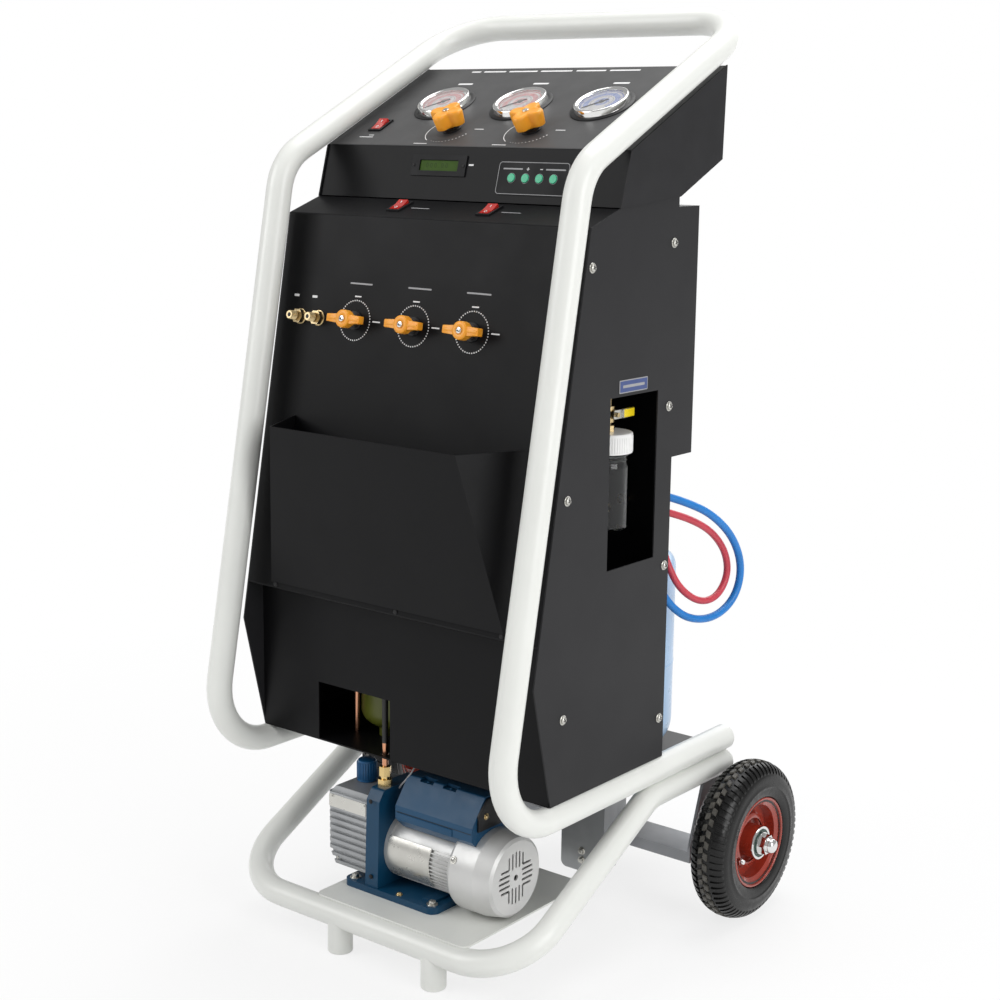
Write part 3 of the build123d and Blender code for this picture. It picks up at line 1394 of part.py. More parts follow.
def refrigerant_circuit():
    """Compressor on three feet, its discharge pipe, and the filter drier on the rear panel."""
    y = cabinet_rear_y - compressor_from_rear
    floor = cabinet_foot + sheet
    shell = rod_z(compressor_r, compressor_x, y, (floor + compressor_foot, floor + compressor_height))
    shell = fillet(shell.edges().filter_by(GeomType.CIRCLE), 22.0)
    for i in range(3):
        foot = Rot(0, 0, 30 + i * 120) * Pos(compressor_r * 0.62, 0, 0) * Cylinder(9, compressor_foot + 12)
        shell += Pos(compressor_x, y, floor + compressor_foot / 2 + 6) * foot
    pipe_x = compressor_x - compressor_r * 0.72
    pipe_y = y - compressor_r * 0.72 - 6
    pipe = rod_z(pipe_r, pipe_x, pipe_y, (floor, floor + compressor_height))
    drier_y = cabinet_rear_y - sheet - drier_r - 4
    drier = rod_z(drier_r, drier_x, drier_y, (floor + 60, floor + 60 + drier_length))
    drier = fillet(drier.edges().filter_by(GeomType.CIRCLE), 8.0)
    clamp = block((drier_x - 8, drier_x + 8), (drier_y + drier_r - 3, cabinet_rear_y - sheet),
                  (floor + 100, floor + 125))
    return Compound([shell, pipe, drier + clamp])


def wheel_pieces():
    """Tyres and rims of both sides."""
    return {
        "left_tyre": tyre(-wheel_x),
        "right_tyre": tyre(wheel_x),
        "left_rim": rim(-wheel_x, -1),
        "right_rim": rim(wheel_x, 1),
    }


def control_pieces():
    """Everything that a hand moves on the panels, one piece per name."""
    pieces = {}
    for name, place in zip(("left", "middle", "right"), gauge_places()):
        pieces[name + "_gauge_needle"] = gauge_needle(place)
    for name, place in zip(("left", "right"), knob_places()):
        pieces[name + "_pressure_knob"] = pressure_knob(place)
    for name, place in zip(("left", "middle", "right"), lever_places()):
        pieces[name + "_valve_lever"] = valve_lever(place)
    for name, place in zip(("power", "left_ledge", "right_ledge"), switch_places()):
        pieces[name + "_rocker"] = rocker(place)
    for number, place in enumerate(button_places(), 1):
        pieces["keypad_button_" + str(number)] = keypad_button(place)
    return pieces


def station():
    """All pieces by name."""
    pieces = {
        "main_frame_tube": main_frame_tube(),
        "lower_frame_tube": lower_frame_tube(),
        "pump_shelf": pump_shelf(),
        "axle_beam": axle_beam(),
        "wheel_axles": wheel_axles(),
        "left_side_panel": side_panel(-1),
        "right_side_panel": side_panel(1),
        "front_panel": front_panel(),
        "lower_front_panel": lower_front_panel(),
        "storage_pocket": storage_pocket(),
        "rear_panel": rear_panel(),
        "rear_box": rear_box(),
        "console_housing": console_housing(),
        "control_panel": control_panel(),
        "gauge_cases": gauge_cases(),
        "gauge_lenses": gauge_lenses(),
        "panel_fittings": panel_fittings(),
        "switch_housings": switch_housings(),
        "display_module": display_module(),
        "keypad_plate": keypad_plate(),
        "oil_jar": oil_jar(),
        "jar_cap": jar_cap(),
        "oil_valve": oil_valve(),
        "oil_valve_handle": oil_valve_handle(),
        "refrigerant_cylinder": refrigerant_cylinder(),
        "cylinder_valves": cylinder_valves(),
        "blue_handwheel": handwheel(-1),
        "red_handwheel": handwheel(1),
        "scale_platform": scale_platform(),
        "blue_hose": hose("blue hose", blue_route, blue_hose_d),
        "red_hose": hose("red hose", red_route, red_hose_d),
        "hose_fittings": hose_fittings(),
        "pump_bracket": pump_bracket(),
        "pump_motor_body": pump_motor_body(),
        "pump_fan_cover": pump_fan_cover(),
        "pump_fan": pump_fan(),
        "pump_oil_casing": pump_oil_casing(),
        "pump_filler_cap": pump_filler_cap(),
        "pump_top_box": pump_top_box(),
        "suction_line": suction_line(),
        "refrigerant_circuit": refrigerant_circuit(),
    }
    pieces.update(wheel_pieces())
    pieces.update(control_pieces())
    return pieces


os.makedirs("parts", exist_ok=True)
for node, shape in station().items():
    export_step(shape, "parts/" + node + ".step")
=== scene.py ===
import math
import random

import bmesh
import bpy
from mathutils import Matrix, Vector


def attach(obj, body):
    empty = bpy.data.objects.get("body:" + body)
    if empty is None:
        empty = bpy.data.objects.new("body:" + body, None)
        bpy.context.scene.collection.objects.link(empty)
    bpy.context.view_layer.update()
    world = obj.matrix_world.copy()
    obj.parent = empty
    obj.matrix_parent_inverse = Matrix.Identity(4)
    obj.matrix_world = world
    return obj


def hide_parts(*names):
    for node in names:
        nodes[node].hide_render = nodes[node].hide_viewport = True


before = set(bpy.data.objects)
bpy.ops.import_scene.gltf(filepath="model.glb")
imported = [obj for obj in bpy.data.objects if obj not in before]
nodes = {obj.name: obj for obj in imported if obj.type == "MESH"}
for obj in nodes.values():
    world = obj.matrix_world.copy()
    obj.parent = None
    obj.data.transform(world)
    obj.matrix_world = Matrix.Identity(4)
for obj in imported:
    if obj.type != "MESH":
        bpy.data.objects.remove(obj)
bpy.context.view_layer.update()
scene = bpy.context.scene
scene.view_settings.view_transform = "Standard"
random.seed(11)

# Places in the row frame, in millimetres
AXLE_Y = 185.0
AXLE_Z = 109.0
WHEEL_X = 297.0
KNEE = (-227.0, 408.0)
PANEL_TOP = (-131.0, 942.0)
LEDGE_REAR = (-75.0, 962.0)
CONSOLE_FOOT = (-75.0, 962.0)
CONSOLE_FRONT = (-57.0, 1029.0)
CONSOLE_REAR = (150.25, 1134.6)
PUMP_Y = -151.0
PUMP_Z = 126.0
IDENTITY = Matrix.Identity(4)


def face(low, high, lift=0.0):
    """The frame of a panel: x across, y up the panel, z out of it."""
    along = Vector((0, high[0] - low[0], high[1] - low[1])).normalized()
    out = Vector((0, -along.z, along.y))
    origin = Vector((0, low[0], low[1])) + out * lift
    return Matrix(((1, 0, 0, origin.x), (0, along.y, out.y, origin.y),
                   (0, along.z, out.z, origin.z), (0, 0, 0, 1)))


FRONT = face(KNEE, PANEL_TOP)
LEDGE = face(PANEL_TOP, LEDGE_REAR)
CONSOLE_FACE = face(CONSOLE_FOOT, CONSOLE_FRONT, -2.5)
CONSOLE_TOP = face(CONSOLE_FRONT, CONSOLE_REAR)
LEAN = math.atan2(PANEL_TOP[0] - KNEE[0], PANEL_TOP[1] - KNEE[1])


def front_up(height):
    return (height - KNEE[1]) / math.cos(LEAN)


def at(base, x, y, z=0.0, turn=0.0):
    return base @ Matrix.Translation((x, y, z)) @ Matrix.Rotation(math.radians(turn), 4, "Z")


def facing(direction, x, y, z):
    """A frame at a point whose local z looks along a direction."""
    turn = Vector(direction).to_track_quat("Z", "Y").to_matrix().to_4x4()
    return Matrix.Translation((x, y, z)) @ turn


# Materials

def shader(name, colour, rough, metal=0.0, **values):
    material = bpy.data.materials.new(name)
    material.use_nodes = True
    tree = material.node_tree
    bsdf = tree.nodes["Principled BSDF"]
    bsdf.inputs["Base Color"].default_value = (*colour, 1)
    bsdf.inputs["Roughness"].default_value = rough
    bsdf.inputs["Metallic"].default_value = metal
    for key, value in values.items():
        bsdf.inputs[key.replace("_", " ")].default_value = value
    return material, tree, bsdf


def coordinates(tree):
    return tree.nodes.new("ShaderNodeTexCoord").outputs["Object"]


def noise(tree, scale, detail=3.0, where=None, rough=0.5):
    node = tree.nodes.new("ShaderNodeTexNoise")
    node.inputs["Scale"].default_value = scale
    node.inputs["Detail"].default_value = detail
    node.inputs["Roughness"].default_value = rough
    tree.links.new(where or coordinates(tree), node.inputs["Vector"])
    return node.outputs["Fac"]


def remap(tree, value, low, high, start=0.3, end=0.7):
    node = tree.nodes.new("ShaderNodeMapRange")
    node.inputs["From Min"].default_value = start
    node.inputs["From Max"].default_value = end
    node.inputs["To Min"].default_value = low
    node.inputs["To Max"].default_value = high
    tree.links.new(value, node.inputs["Value"])
    return node.outputs["Result"]


def blend_colour(tree, factor, first, second):
    node = tree.nodes.new("ShaderNodeMix")
    node.data_type = "RGBA"
    tree.links.new(factor, node.inputs["Factor"])
    for socket, colour in (("A", first), ("B", second)):
        slot = [s for s in node.inputs if s.name == socket and s.type == "RGBA"][0]
        if isinstance(colour, tuple):
            slot.default_value = (*colour, 1)
        else:
            tree.links.new(colour, slot)
    return [s for s in node.outputs if s.type == "RGBA"][0]


def bump(tree, bsdf, height, strength, distance):
    node = tree.nodes.new("ShaderNodeBump")
    node.inputs["Strength"].default_value = strength
    node.inputs["Distance"].default_value = distance
    tree.links.new(height, node.inputs["Height"])
    before = bsdf.inputs["Normal"]
    if before.is_linked:
        tree.links.new(before.links[0].from_socket, node.inputs["Normal"])
    tree.links.new(node.outputs["Normal"], bsdf.inputs["Normal"])


def tone(colour, factor):
    return tuple(min(1.0, c * factor) for c in colour)


def finish(name, colour, rough, metal=0.0, vary=0.08, patch=9.0, grain=700.0, depth=0.00006,
           strength=0.25, rough_vary=0.06, **values):
    """A surface with soft colour variation, uneven gloss and a fine grain."""
    material, tree, bsdf = shader(name, colour, rough, metal, **values)
    clouds = noise(tree, patch, 4.0)
    varied = blend_colour(tree, remap(tree, clouds, 0, 1), tone(colour, 1 - vary), tone(colour, 1 + vary))
    tree.links.new(varied, bsdf.inputs["Base Color"])
    smears = noise(tree, patch * 3.1, 5.0, rough=0.6)
    tree.links.new(remap(tree, smears, max(0.02, rough - rough_vary), rough + rough_vary),
                   bsdf.inputs["Roughness"])
    if strength > 0:
        bump(tree, bsdf, noise(tree, grain, 2.0), strength, depth)
    return material


def by_place(name, parts, rough, metal, grain=500.0, depth=0.00005, **values):
    """One surface whose colour, metal and gloss change by place: parts are (test, colour, metal, rough)."""
    material, tree, bsdf = shader(name, parts[0][1], rough, metal, **values)
    clouds = remap(tree, noise(tree, 30.0, 4.0), 0, 1)
    separate = tree.nodes.new("ShaderNodeSeparateXYZ")
    tree.links.new(coordinates(tree), separate.inputs[0])
    colour = blend_colour(tree, clouds, tone(parts[0][1], 0.92), tone(parts[0][1], 1.08))
    metallic, roughness = None, None
    for value_name in ("metal", "rough"):
        first = tree.nodes.new("ShaderNodeValue")
        first.outputs[0].default_value = parts[0][2 if value_name == "metal" else 3]
        if value_name == "metal":
            metallic = first.outputs[0]
        else:
            roughness = first.outputs[0]
    for tests, c, m, r in parts[1:]:
        mask = None
        for axis, low, high in tests:
            for limit, operation in ((low, "GREATER_THAN"), (high, "LESS_THAN")):
                if limit is None:
                    continue
                test = tree.nodes.new("ShaderNodeMath")
                test.operation = operation
                test.inputs[1].default_value = limit / 1000
                tree.links.new(separate.outputs["XYZ".index(axis)], test.inputs[0])
                if mask is None:
                    mask = test.outputs[0]
                else:
                    both = tree.nodes.new("ShaderNodeMath")
                    both.operation = "MULTIPLY"
                    tree.links.new(mask, both.inputs[0])
                    tree.links.new(test.outputs[0], both.inputs[1])
                    mask = both.outputs[0]
        varied = blend_colour(tree, clouds, tone(c, 0.9), tone(c, 1.1))
        colour = blend_colour(tree, mask, colour, varied)
        for kind, target in (("metal", m), ("rough", r)):
            mix = tree.nodes.new("ShaderNodeMix")
            tree.links.new(mask, mix.inputs["Factor"])
            tree.links.new(metallic if kind == "metal" else roughness, mix.inputs["A"])
            mix.inputs["B"].default_value = target
            if kind == "metal":
                metallic = mix.outputs["Result"]
            else:
                roughness = mix.outputs["Result"]
    tree.links.new(colour, bsdf.inputs["Base Color"])
    tree.links.new(metallic, bsdf.inputs["Metallic"])
    tree.links.new(roughness, bsdf.inputs["Roughness"])
    bump(tree, bsdf, noise(tree, grain, 2.0), 0.25, depth)
    return material


def glass(name, colour, rough, index):
    material, tree, bsdf = shader(name, colour, rough, Transmission_Weight=1.0, IOR=index)
    smears = noise(tree, 40.0, 4.0)
    tree.links.new(remap(tree, smears, rough * 0.5, rough * 2.0 + 0.01), bsdf.inputs["Roughness"])
    return material


white_paint = finish("frame_paint", (0.80, 0.81, 0.775), 0.34, vary=0.025, grain=420, depth=0.00008,
                     strength=0.22, Coat_Weight=0.2, Coat_Roughness=0.2)
black_paint = finish("cabinet_paint", (0.0055, 0.0055, 0.0062), 0.42, vary=0.10, patch=5, grain=900,
                     depth=0.00005, strength=0.35, rough_vary=0.04, Specular_IOR_Level=0.13)
# Painted light: the cabinet's black paint again, made lighter to stand for the brighter light on the side
# panels and rear box.
cabinet_paint_lit_sides = finish("cabinet_paint_lit_sides", (0.019, 0.019, 0.0205), 0.42, vary=0.06, patch=5, grain=900,
                    depth=0.00005, strength=0.35, rough_vary=0.04, Specular_IOR_Level=0.21)
beam_paint = finish("axle_paint", (0.36, 0.37, 0.39), 0.40, metal=0.3, vary=0.08, patch=20, grain=350,
                    strength=0.2)
rubber = finish("tyre_rubber", (0.0055, 0.0055, 0.0055), 0.29, vary=0.25, patch=40, grain=800, depth=0.0001,
                strength=0.4, rough_vary=0.10, Specular_IOR_Level=0.34)
worn_rubber = finish("worn_rubber", (0.085, 0.080, 0.070), 0.55, vary=0.3, patch=60, grain=700,
                     depth=0.0001, strength=0.6, rough_vary=0.08)
rim_red = finish("rim_paint", (0.33, 0.034, 0.017), 0.24, vary=0.10, patch=18, grain=300, strength=0.15,
                 Coat_Weight=0.6, Coat_Roughness=0.08)
chrome = finish("chrome", (0.80, 0.80, 0.79), 0.10, metal=1.0, vary=0.04, strength=0.05, rough_vary=0.03)
zinc = finish("zinc", (0.62, 0.61, 0.57), 0.28, metal=1.0, vary=0.10, patch=60, strength=0.15)
brass = finish("brass", (0.62, 0.48, 0.26), 0.28, metal=1.0, vary=0.12, patch=50, strength=0.12)
orange = finish("knob_orange", (0.90, 0.36, 0.022), 0.34, vary=0.05, patch=40, grain=500, strength=0.15,
                Subsurface_Weight=0.08, Subsurface_Scale=0.004)
black_plastic = finish("black_plastic", (0.010, 0.010, 0.011), 0.40, vary=0.1, patch=60, grain=900,
                       strength=0.25, Specular_IOR_Level=0.28)
keypad_film = finish("keypad_film", (0.008, 0.008, 0.009), 0.46, vary=0.1, grain=900, strength=0.2,
                     Specular_IOR_Level=0.15)
red_plastic = finish("rocker_red", (0.50, 0.016, 0.010), 0.16, vary=0.08, patch=50, strength=0.05,
                     Coat_Weight=0.7, Coat_Roughness=0.05)
mint = finish("button_green", (0.05, 0.50, 0.27), 0.40, vary=0.05, patch=80, grain=900, strength=0.3)
print_white = finish("print_white", (0.78, 0.78, 0.78), 0.5, vary=0.05, patch=120, strength=0.0)
print_grey = finish("print_grey", (0.34, 0.34, 0.35), 0.5, vary=0.05, patch=120, strength=0.0)
print_black = finish("print_black", (0.02, 0.02, 0.02), 0.5, vary=0.1, patch=120, strength=0.0)
print_red = finish("print_red", (0.55, 0.05, 0.05), 0.5, vary=0.05, patch=120, strength=0.0)
print_blue = finish("print_blue", (0.05, 0.10, 0.45), 0.5, vary=0.05, patch=120, strength=0.0)
dial_white = finish("dial_white", (0.60, 0.59, 0.585), 0.42, vary=0.03, patch=60, grain=900, strength=0.1)
print_pink = finish("print_pink", (0.58, 0.30, 0.30), 0.5, vary=0.05, patch=120, strength=0.0)
print_pale_blue = finish("print_pale_blue", (0.25, 0.31, 0.55), 0.5, vary=0.05, patch=120, strength=0.0)
lens = glass("gauge_glass", (1, 1, 1), 0.02, 1.46)
clear = glass("jar_clear", (0.97, 0.985, 0.99), 0.012, 1.34)
cap_white = finish("cap_white", (0.84, 0.84, 0.83), 0.38, vary=0.04, patch=40, strength=0.15)
yellow = finish("lever_yellow", (0.88, 0.66, 0.015), 0.32, vary=0.05, patch=60, strength=0.15)
cylinder_paint = finish("cylinder_blue", (0.33, 0.52, 0.76), 0.30, vary=0.05, patch=7, grain=300,
                        strength=0.2, Coat_Weight=0.3, Coat_Roughness=0.15)
wheel_blue = finish("wheel_blue", (0.02, 0.10, 0.42), 0.4, vary=0.08, patch=60, strength=0.3)
wheel_red = finish("wheel_red", (0.55, 0.02, 0.02), 0.4, vary=0.08, patch=60, strength=0.3)
hose_blue = finish("hose_blue", (0.012, 0.20, 0.60), 0.34, vary=0.07, patch=30, grain=600, strength=0.3)
hose_red = finish("hose_red", (0.62, 0.06, 0.085), 0.36, vary=0.07, patch=30, grain=600, strength=0.3)
pump_blue = finish("pump_paint", (0.0035, 0.050, 0.112), 0.36, vary=0.08, patch=14, grain=450, depth=0.0001,
                   strength=0.35, Specular_IOR_Level=0.32)
box_blue = finish("pump_box_blue", (0.008, 0.062, 0.138), 0.42, vary=0.06, patch=16, grain=800, strength=0.45,
                  depth=0.0001, Specular_IOR_Level=0.34)
cap_blue = finish("pump_cap_blue", (0.010, 0.115, 0.290), 0.34, vary=0.06, patch=30, strength=0.2)
silver = finish("pump_silver", (0.64, 0.64, 0.63), 0.38, metal=0.32, vary=0.07, patch=16, grain=520,
                depth=0.00012, strength=0.4)
cast = finish("cast_silver", (0.40, 0.41, 0.42), 0.46, metal=0.55, vary=0.10, patch=22, grain=420,
              depth=0.0002, strength=0.5)
fan_black = finish("fan_black", (0.02, 0.02, 0.02), 0.5, vary=0.1, patch=40, strength=0.3)
plate_silver = finish("plate_silver", (0.62, 0.61, 0.57), 0.30, metal=0.7, vary=0.05, patch=20, strength=0.08)
label_blue = finish("label_blue", (0.045, 0.075, 0.22), 0.4, vary=0.06, patch=60, strength=0.05)
seal_green = finish("seal_green", (0.03, 0.07, 0.055), 0.45, vary=0.15, patch=80, strength=0.3)
lcd = finish("lcd_green", (0.037, 0.084, 0.005), 0.5, vary=0.10, patch=60, strength=0.0,
             Specular_IOR_Level=0.15)
lcd_dark = finish("lcd_dark", (0.017, 0.040, 0.003), 0.5, vary=0.06, patch=40, strength=0.0,
                  Specular_IOR_Level=0.15)
# Painted shade: a near-black for flat marks that stand for the shade inside screw crosses, slots, port bores
# and a groove.
recess_shade = finish("painted_recess_shade", (0.012, 0.012, 0.012), 0.6, vary=0.1, patch=60, strength=0.1)

suction = by_place("suction_line", [(None, (0.72, 0.53, 0.24), 1.0, 0.24),
                                    ([("Z", 236.5, 268.0)], (0.70, 0.34, 0.20), 1.0, 0.28),
                                    ([("Z", 268.0, None)], (0.012, 0.012, 0.012), 0.0, 0.5)], 0.25, 1.0)
scale_mix = by_place("scale_platform", [(None, (0.012, 0.012, 0.013), 0.0, 0.42),
                                        ([("Z", 57.0, 159.0)], (0.40, 0.41, 0.42), 0.45, 0.38),
                                        ([("Z", 159.0, 260.0), ("Y", None, 50.5)], (0.40, 0.41, 0.42), 0.45,
                                         0.38)], 0.4, 0.5)
# Painted light: the control panel above 1030 mm, the console top, is a lighter grey that stands for the
# reflection of the overhead light.
panel_paint = by_place("panel_paint", [(None, (0.0055, 0.0055, 0.0062), 0.0, 0.42),
                                       ([("Z", 1030.0, None)], (0.076, 0.076, 0.077), 0.0, 0.42)], 0.4, 0.0,
                       Specular_IOR_Level=0.13)
# Painted light: the console cheeks, beyond cheek_side across X, take a lighter copy of the black paint to
# stand for the light falling on the side faces.
cheek_side = max(corner[0] for corner in nodes["console_housing"].bound_box) * 1000 - 0.5
housing_paint_lit_cheeks = by_place("housing_paint_lit_cheeks", [(None, (0.0055, 0.0055, 0.0062), 0.0, 0.42),
                                           ([("X", cheek_side, None)], (0.021, 0.021, 0.0225), 0.0, 0.42),
                                           ([("X", None, -cheek_side)], (0.021, 0.021, 0.0225), 0.0, 0.42)],
                         0.4, 0.0, Specular_IOR_Level=0.15)
# Painted shade: the fittings right of x = -140 mm, the bushings under the levers, are painted black for the
# shade there; the service ports at the left stay brass.
panel_brass_and_shade = by_place("panel_fittings", [(None, (0.58, 0.46, 0.27), 1.0, 0.28),
                                          ([("X", -140.0, None)], (0.012, 0.012, 0.012), 0.0, 0.45)],
                       0.3, 1.0)
circuit = by_place("compressor", [(None, (0.105, 0.120, 0.013), 0.0, 0.42),
                                  ([("X", -140.0, -119.0), ("Y", None, -120.0)], (0.72, 0.36, 0.22),
                                   1.0, 0.3),
                                  ([("X", 20.0, None)], (0.03, 0.10, 0.30), 0.0, 0.35)], 0.4, 0.0)
FINISHES = {
    "main_frame_tube": white_paint, "lower_frame_tube": white_paint, "pump_shelf": white_paint,
    "axle_beam": beam_paint, "wheel_axles": chrome, "left_rim": rim_red, "right_rim": rim_red,
    "left_tyre": rubber, "right_tyre": rubber,
    "left_side_panel": cabinet_paint_lit_sides, "right_side_panel": cabinet_paint_lit_sides, "front_panel": black_paint,
    "lower_front_panel": black_paint, "storage_pocket": black_paint, "rear_panel": black_paint,
    "rear_box": cabinet_paint_lit_sides, "console_housing": housing_paint_lit_cheeks, "control_panel": panel_paint,
    "gauge_cases": chrome, "gauge_lenses": lens, "left_gauge_needle": print_black,
    "middle_gauge_needle": print_black, "right_gauge_needle": print_black,
    "left_pressure_knob": orange, "right_pressure_knob": orange, "left_valve_lever": orange,
    "middle_valve_lever": orange, "right_valve_lever": orange, "panel_fittings": panel_brass_and_shade,
    "switch_housings": black_plastic, "power_rocker": red_plastic, "left_ledge_rocker": red_plastic,
    "right_ledge_rocker": red_plastic, "display_module": keypad_film, "keypad_plate": keypad_film,
    "keypad_button_1": mint, "keypad_button_2": mint, "keypad_button_3": mint, "keypad_button_4": mint,
    "oil_jar": clear, "jar_cap": cap_white, "oil_valve": brass, "oil_valve_handle": zinc,
    "refrigerant_cylinder": cylinder_paint, "cylinder_valves": brass, "blue_handwheel": wheel_blue,
    "red_handwheel": wheel_red, "scale_platform": scale_mix, "hose_fittings": brass,
    "blue_hose": hose_blue, "red_hose": hose_red, "pump_bracket": pump_blue,
    "pump_motor_body": silver, "pump_fan_cover": silver, "pump_fan": fan_black, "pump_oil_casing": cast,
    "pump_filler_cap": cap_blue, "pump_top_box": box_blue, "suction_line": suction,
    "refrigerant_circuit": circuit,
}
for name, material in FINISHES.items():
    for slot in nodes[name].material_slots:
        slot.material = material


# Shapes, built in millimetres

class Form:
    """A mesh built from turned, extruded and swept pieces."""

    def __init__(self):
        self.bm = bmesh.new()

    def _take(self, part, place):
        bmesh.ops.recalc_face_normals(part, faces=part.faces)
        bmesh.ops.transform(part, matrix=place, verts=part.verts)
        mesh = bpy.data.meshes.new("part")
        part.to_mesh(mesh)
        part.free()
        self.bm.from_mesh(mesh)
        bpy.data.meshes.remove(mesh)
        return self

    def lathe(self, profile, place=IDENTITY, steps=40, turn=360.0, start=0.0):
        part = bmesh.new()
        full = turn >= 360.0
        count = steps if full else steps + 1
        rings = []
        for r, z in profile:
            if r < 1e-6:
                rings.append([part.verts.new((0, 0, z))] * count)
                continue
            ring = []
            for i in range(count):
                a = math.radians(start + turn * i / steps)
                ring.append(part.verts.new((r * math.cos(a), r * math.sin(a), z)))
            rings.append(ring)
        for first, second in zip(rings, rings[1:]):
            for i in range(steps):
                j = (i + 1) % count
                loop = [first[i], first[j], second[j], second[i]]
                loop = [v for k, v in enumerate(loop) if v not in loop[:k]]
                if len(loop) > 2:
                    part.faces.new(loop)
        return self._take(part, place)

    def prism(self, outline, low, high, place=IDENTITY, bevel=0.0, segments=2, top_scale=1.0):
        part = bmesh.new()
        bottom = [part.verts.new((x, y, low)) for x, y in outline]
        top = [part.verts.new((x * top_scale, y * top_scale, high)) for x, y in outline]
        part.faces.new(bottom)
        part.faces.new(top)
        for i in range(len(outline)):
            j = (i + 1) % len(outline)
            part.faces.new((bottom[i], bottom[j], top[j], top[i]))
        if bevel > 0:
            bmesh.ops.bevel(part, geom=part.edges[:], offset=bevel, segments=segments, profile=0.5,
                            affect="EDGES")
        return self._take(part, place)

    def box(self, x, y, z, place=IDENTITY, bevel=0.0, segments=2):
        outline = [(x[0], y[0]), (x[1], y[0]), (x[1], y[1]), (x[0], y[1])]
        return self.prism(outline, z[0], z[1], place, bevel, segments)

    def tube(self, points, radius, place=IDENTITY, steps=12, closed=False):
        part = bmesh.new()
        points = [Vector(p) for p in points]
        count = len(points)
        rings = []
        side = None
        for i, p in enumerate(points):
            if closed:
                along = (points[(i + 1) % count] - points[i - 1]).normalized()
            else:
                along = (points[min(i + 1, count - 1)] - points[max(i - 1, 0)]).normalized()
            if side is None:
                side = along.orthogonal().normalized()
            side = (side - along * side.dot(along)).normalized()
            up = along.cross(side)
            rings.append([part.verts.new(p + (side * math.cos(a) + up * math.sin(a)) * radius)
                          for a in (2 * math.pi * k / steps for k in range(steps))])
        pairs = list(zip(rings, rings[1:])) + ([(rings[-1], rings[0])] if closed else [])
        for first, second in pairs:
            for k in range(steps):
                j = (k + 1) % steps
                part.faces.new((first[k], first[j], second[j], second[k]))
        if not closed:
            part.faces.new(rings[0])
            part.faces.new(rings[-1])
        return self._take(part, place)

    def grid(self, rows, place=IDENTITY):
        """An open sheet through rows of points."""
        part = bmesh.new()
        made = [[part.verts.new(p) for p in row] for row in rows]
        for a, b in zip(made, made[1:]):
            for i in range(len(a) - 1):
                part.faces.new((a[i], a[i + 1], b[i + 1], b[i]))
        return self._take(part, place)

    def pad(self, top, foot, place=IDENTITY):
        """A raised patch: a grid of top points with walls down to the same grid's foot points."""
        part = bmesh.new()
        made = [[part.verts.new(p) for p in row] for row in top]
        for a, b in zip(made, made[1:]):
            for i in range(len(a) - 1):
                part.faces.new((a[i], a[i + 1], b[i + 1], b[i]))
        rows, count = len(top), len(top[0])
        rim = [(0, i) for i in range(count)] + [(i, count - 1) for i in range(1, rows)]
        rim += [(rows - 1, i) for i in range(count - 2, -1, -1)] + [(i, 0) for i in range(rows - 2, 0, -1)]
        low = [part.verts.new(foot[i][j]) for i, j in rim]
        for k, (i, j) in enumerate(rim):
            m, n = rim[(k + 1) % len(rim)]
            part.faces.new((made[i][j], made[m][n], low[(k + 1) % len(rim)], low[k]))
        part.faces.new(low)
        return self._take(part, place)

    def band(self, inner, outer, z, place=IDENTITY):
        """A flat strip between two matching outlines."""
        return self.grid([[(x, y, z) for x, y in inner], [(x, y, z) for x, y in outer]], place)

    def arc(self, r0, r1, first, last, z, place=IDENTITY, steps=48):
        rows = []
        for r in (r0, r1):
            rows.append([(r * math.cos(math.radians(first + (last - first) * i / steps)),
                          r * math.sin(math.radians(first + (last - first) * i / steps)), z)
                         for i in range(steps + 1)])
        return self.grid(rows, place)

    def text(self, words, size, place=IDENTITY):
        curve = bpy.data.curves.new("words", "FONT")
        curve.body = words
        curve.size = size
        curve.align_x = "CENTER"
        curve.align_y = "CENTER"
        curve.resolution_u = 3
        owner = bpy.data.objects.new("words", curve)
        scene.collection.objects.link(owner)
        bpy.context.view_layer.update()
        mesh = bpy.data.meshes.new_from_object(owner.evaluated_get(bpy.context.evaluated_depsgraph_get()))
        mesh.transform(place)
        self.bm.from_mesh(mesh)
        bpy.data.objects.remove(owner)
        return self

    def make(self, name, material, body="station", replaces=(), angle=38.0, weld=True):
        if weld:
            bmesh.ops.remove_doubles(self.bm, verts=self.bm.verts, dist=1e-4)
        bmesh.ops.transform(self.bm, matrix=Matrix.Scale(0.001, 4), verts=self.bm.verts)
        mesh = bpy.data.meshes.new(name)
        self.bm.to_mesh(mesh)
        self.bm.free()
        mesh.polygons.foreach_set("use_smooth", [True] * len(mesh.polygons))
        mesh.set_sharp_from_angle(angle=math.radians(angle))
        mesh.materials.append(material)
        piece = bpy.data.objects.new(name, mesh)
        scene.collection.objects.link(piece)
        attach(piece, body)
        if replaces:
            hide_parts(*replaces)
        return piece


def rounded(width, height, radius, steps=6):
    """A rounded rectangle's outline."""
    outline = []
    for cx, cy, first in ((1, 1, 0), (-1, 1, 90), (-1, -1, 180), (1, -1, 270)):
        for i in range(steps + 1):
            a = math.radians(first + 90 * i / steps)
            outline.append((cx * (width / 2 - radius) + radius * math.cos(a),
                            cy * (height / 2 - radius) + radius * math.sin(a)))
    return outline


def circle(radius, count, start=0.0):
    return [(radius * math.cos(math.radians(start + 360 * i / count)),
             radius * math.sin(math.radians(start + 360 * i / count))) for i in range(count)]


# Camera, floor and lights

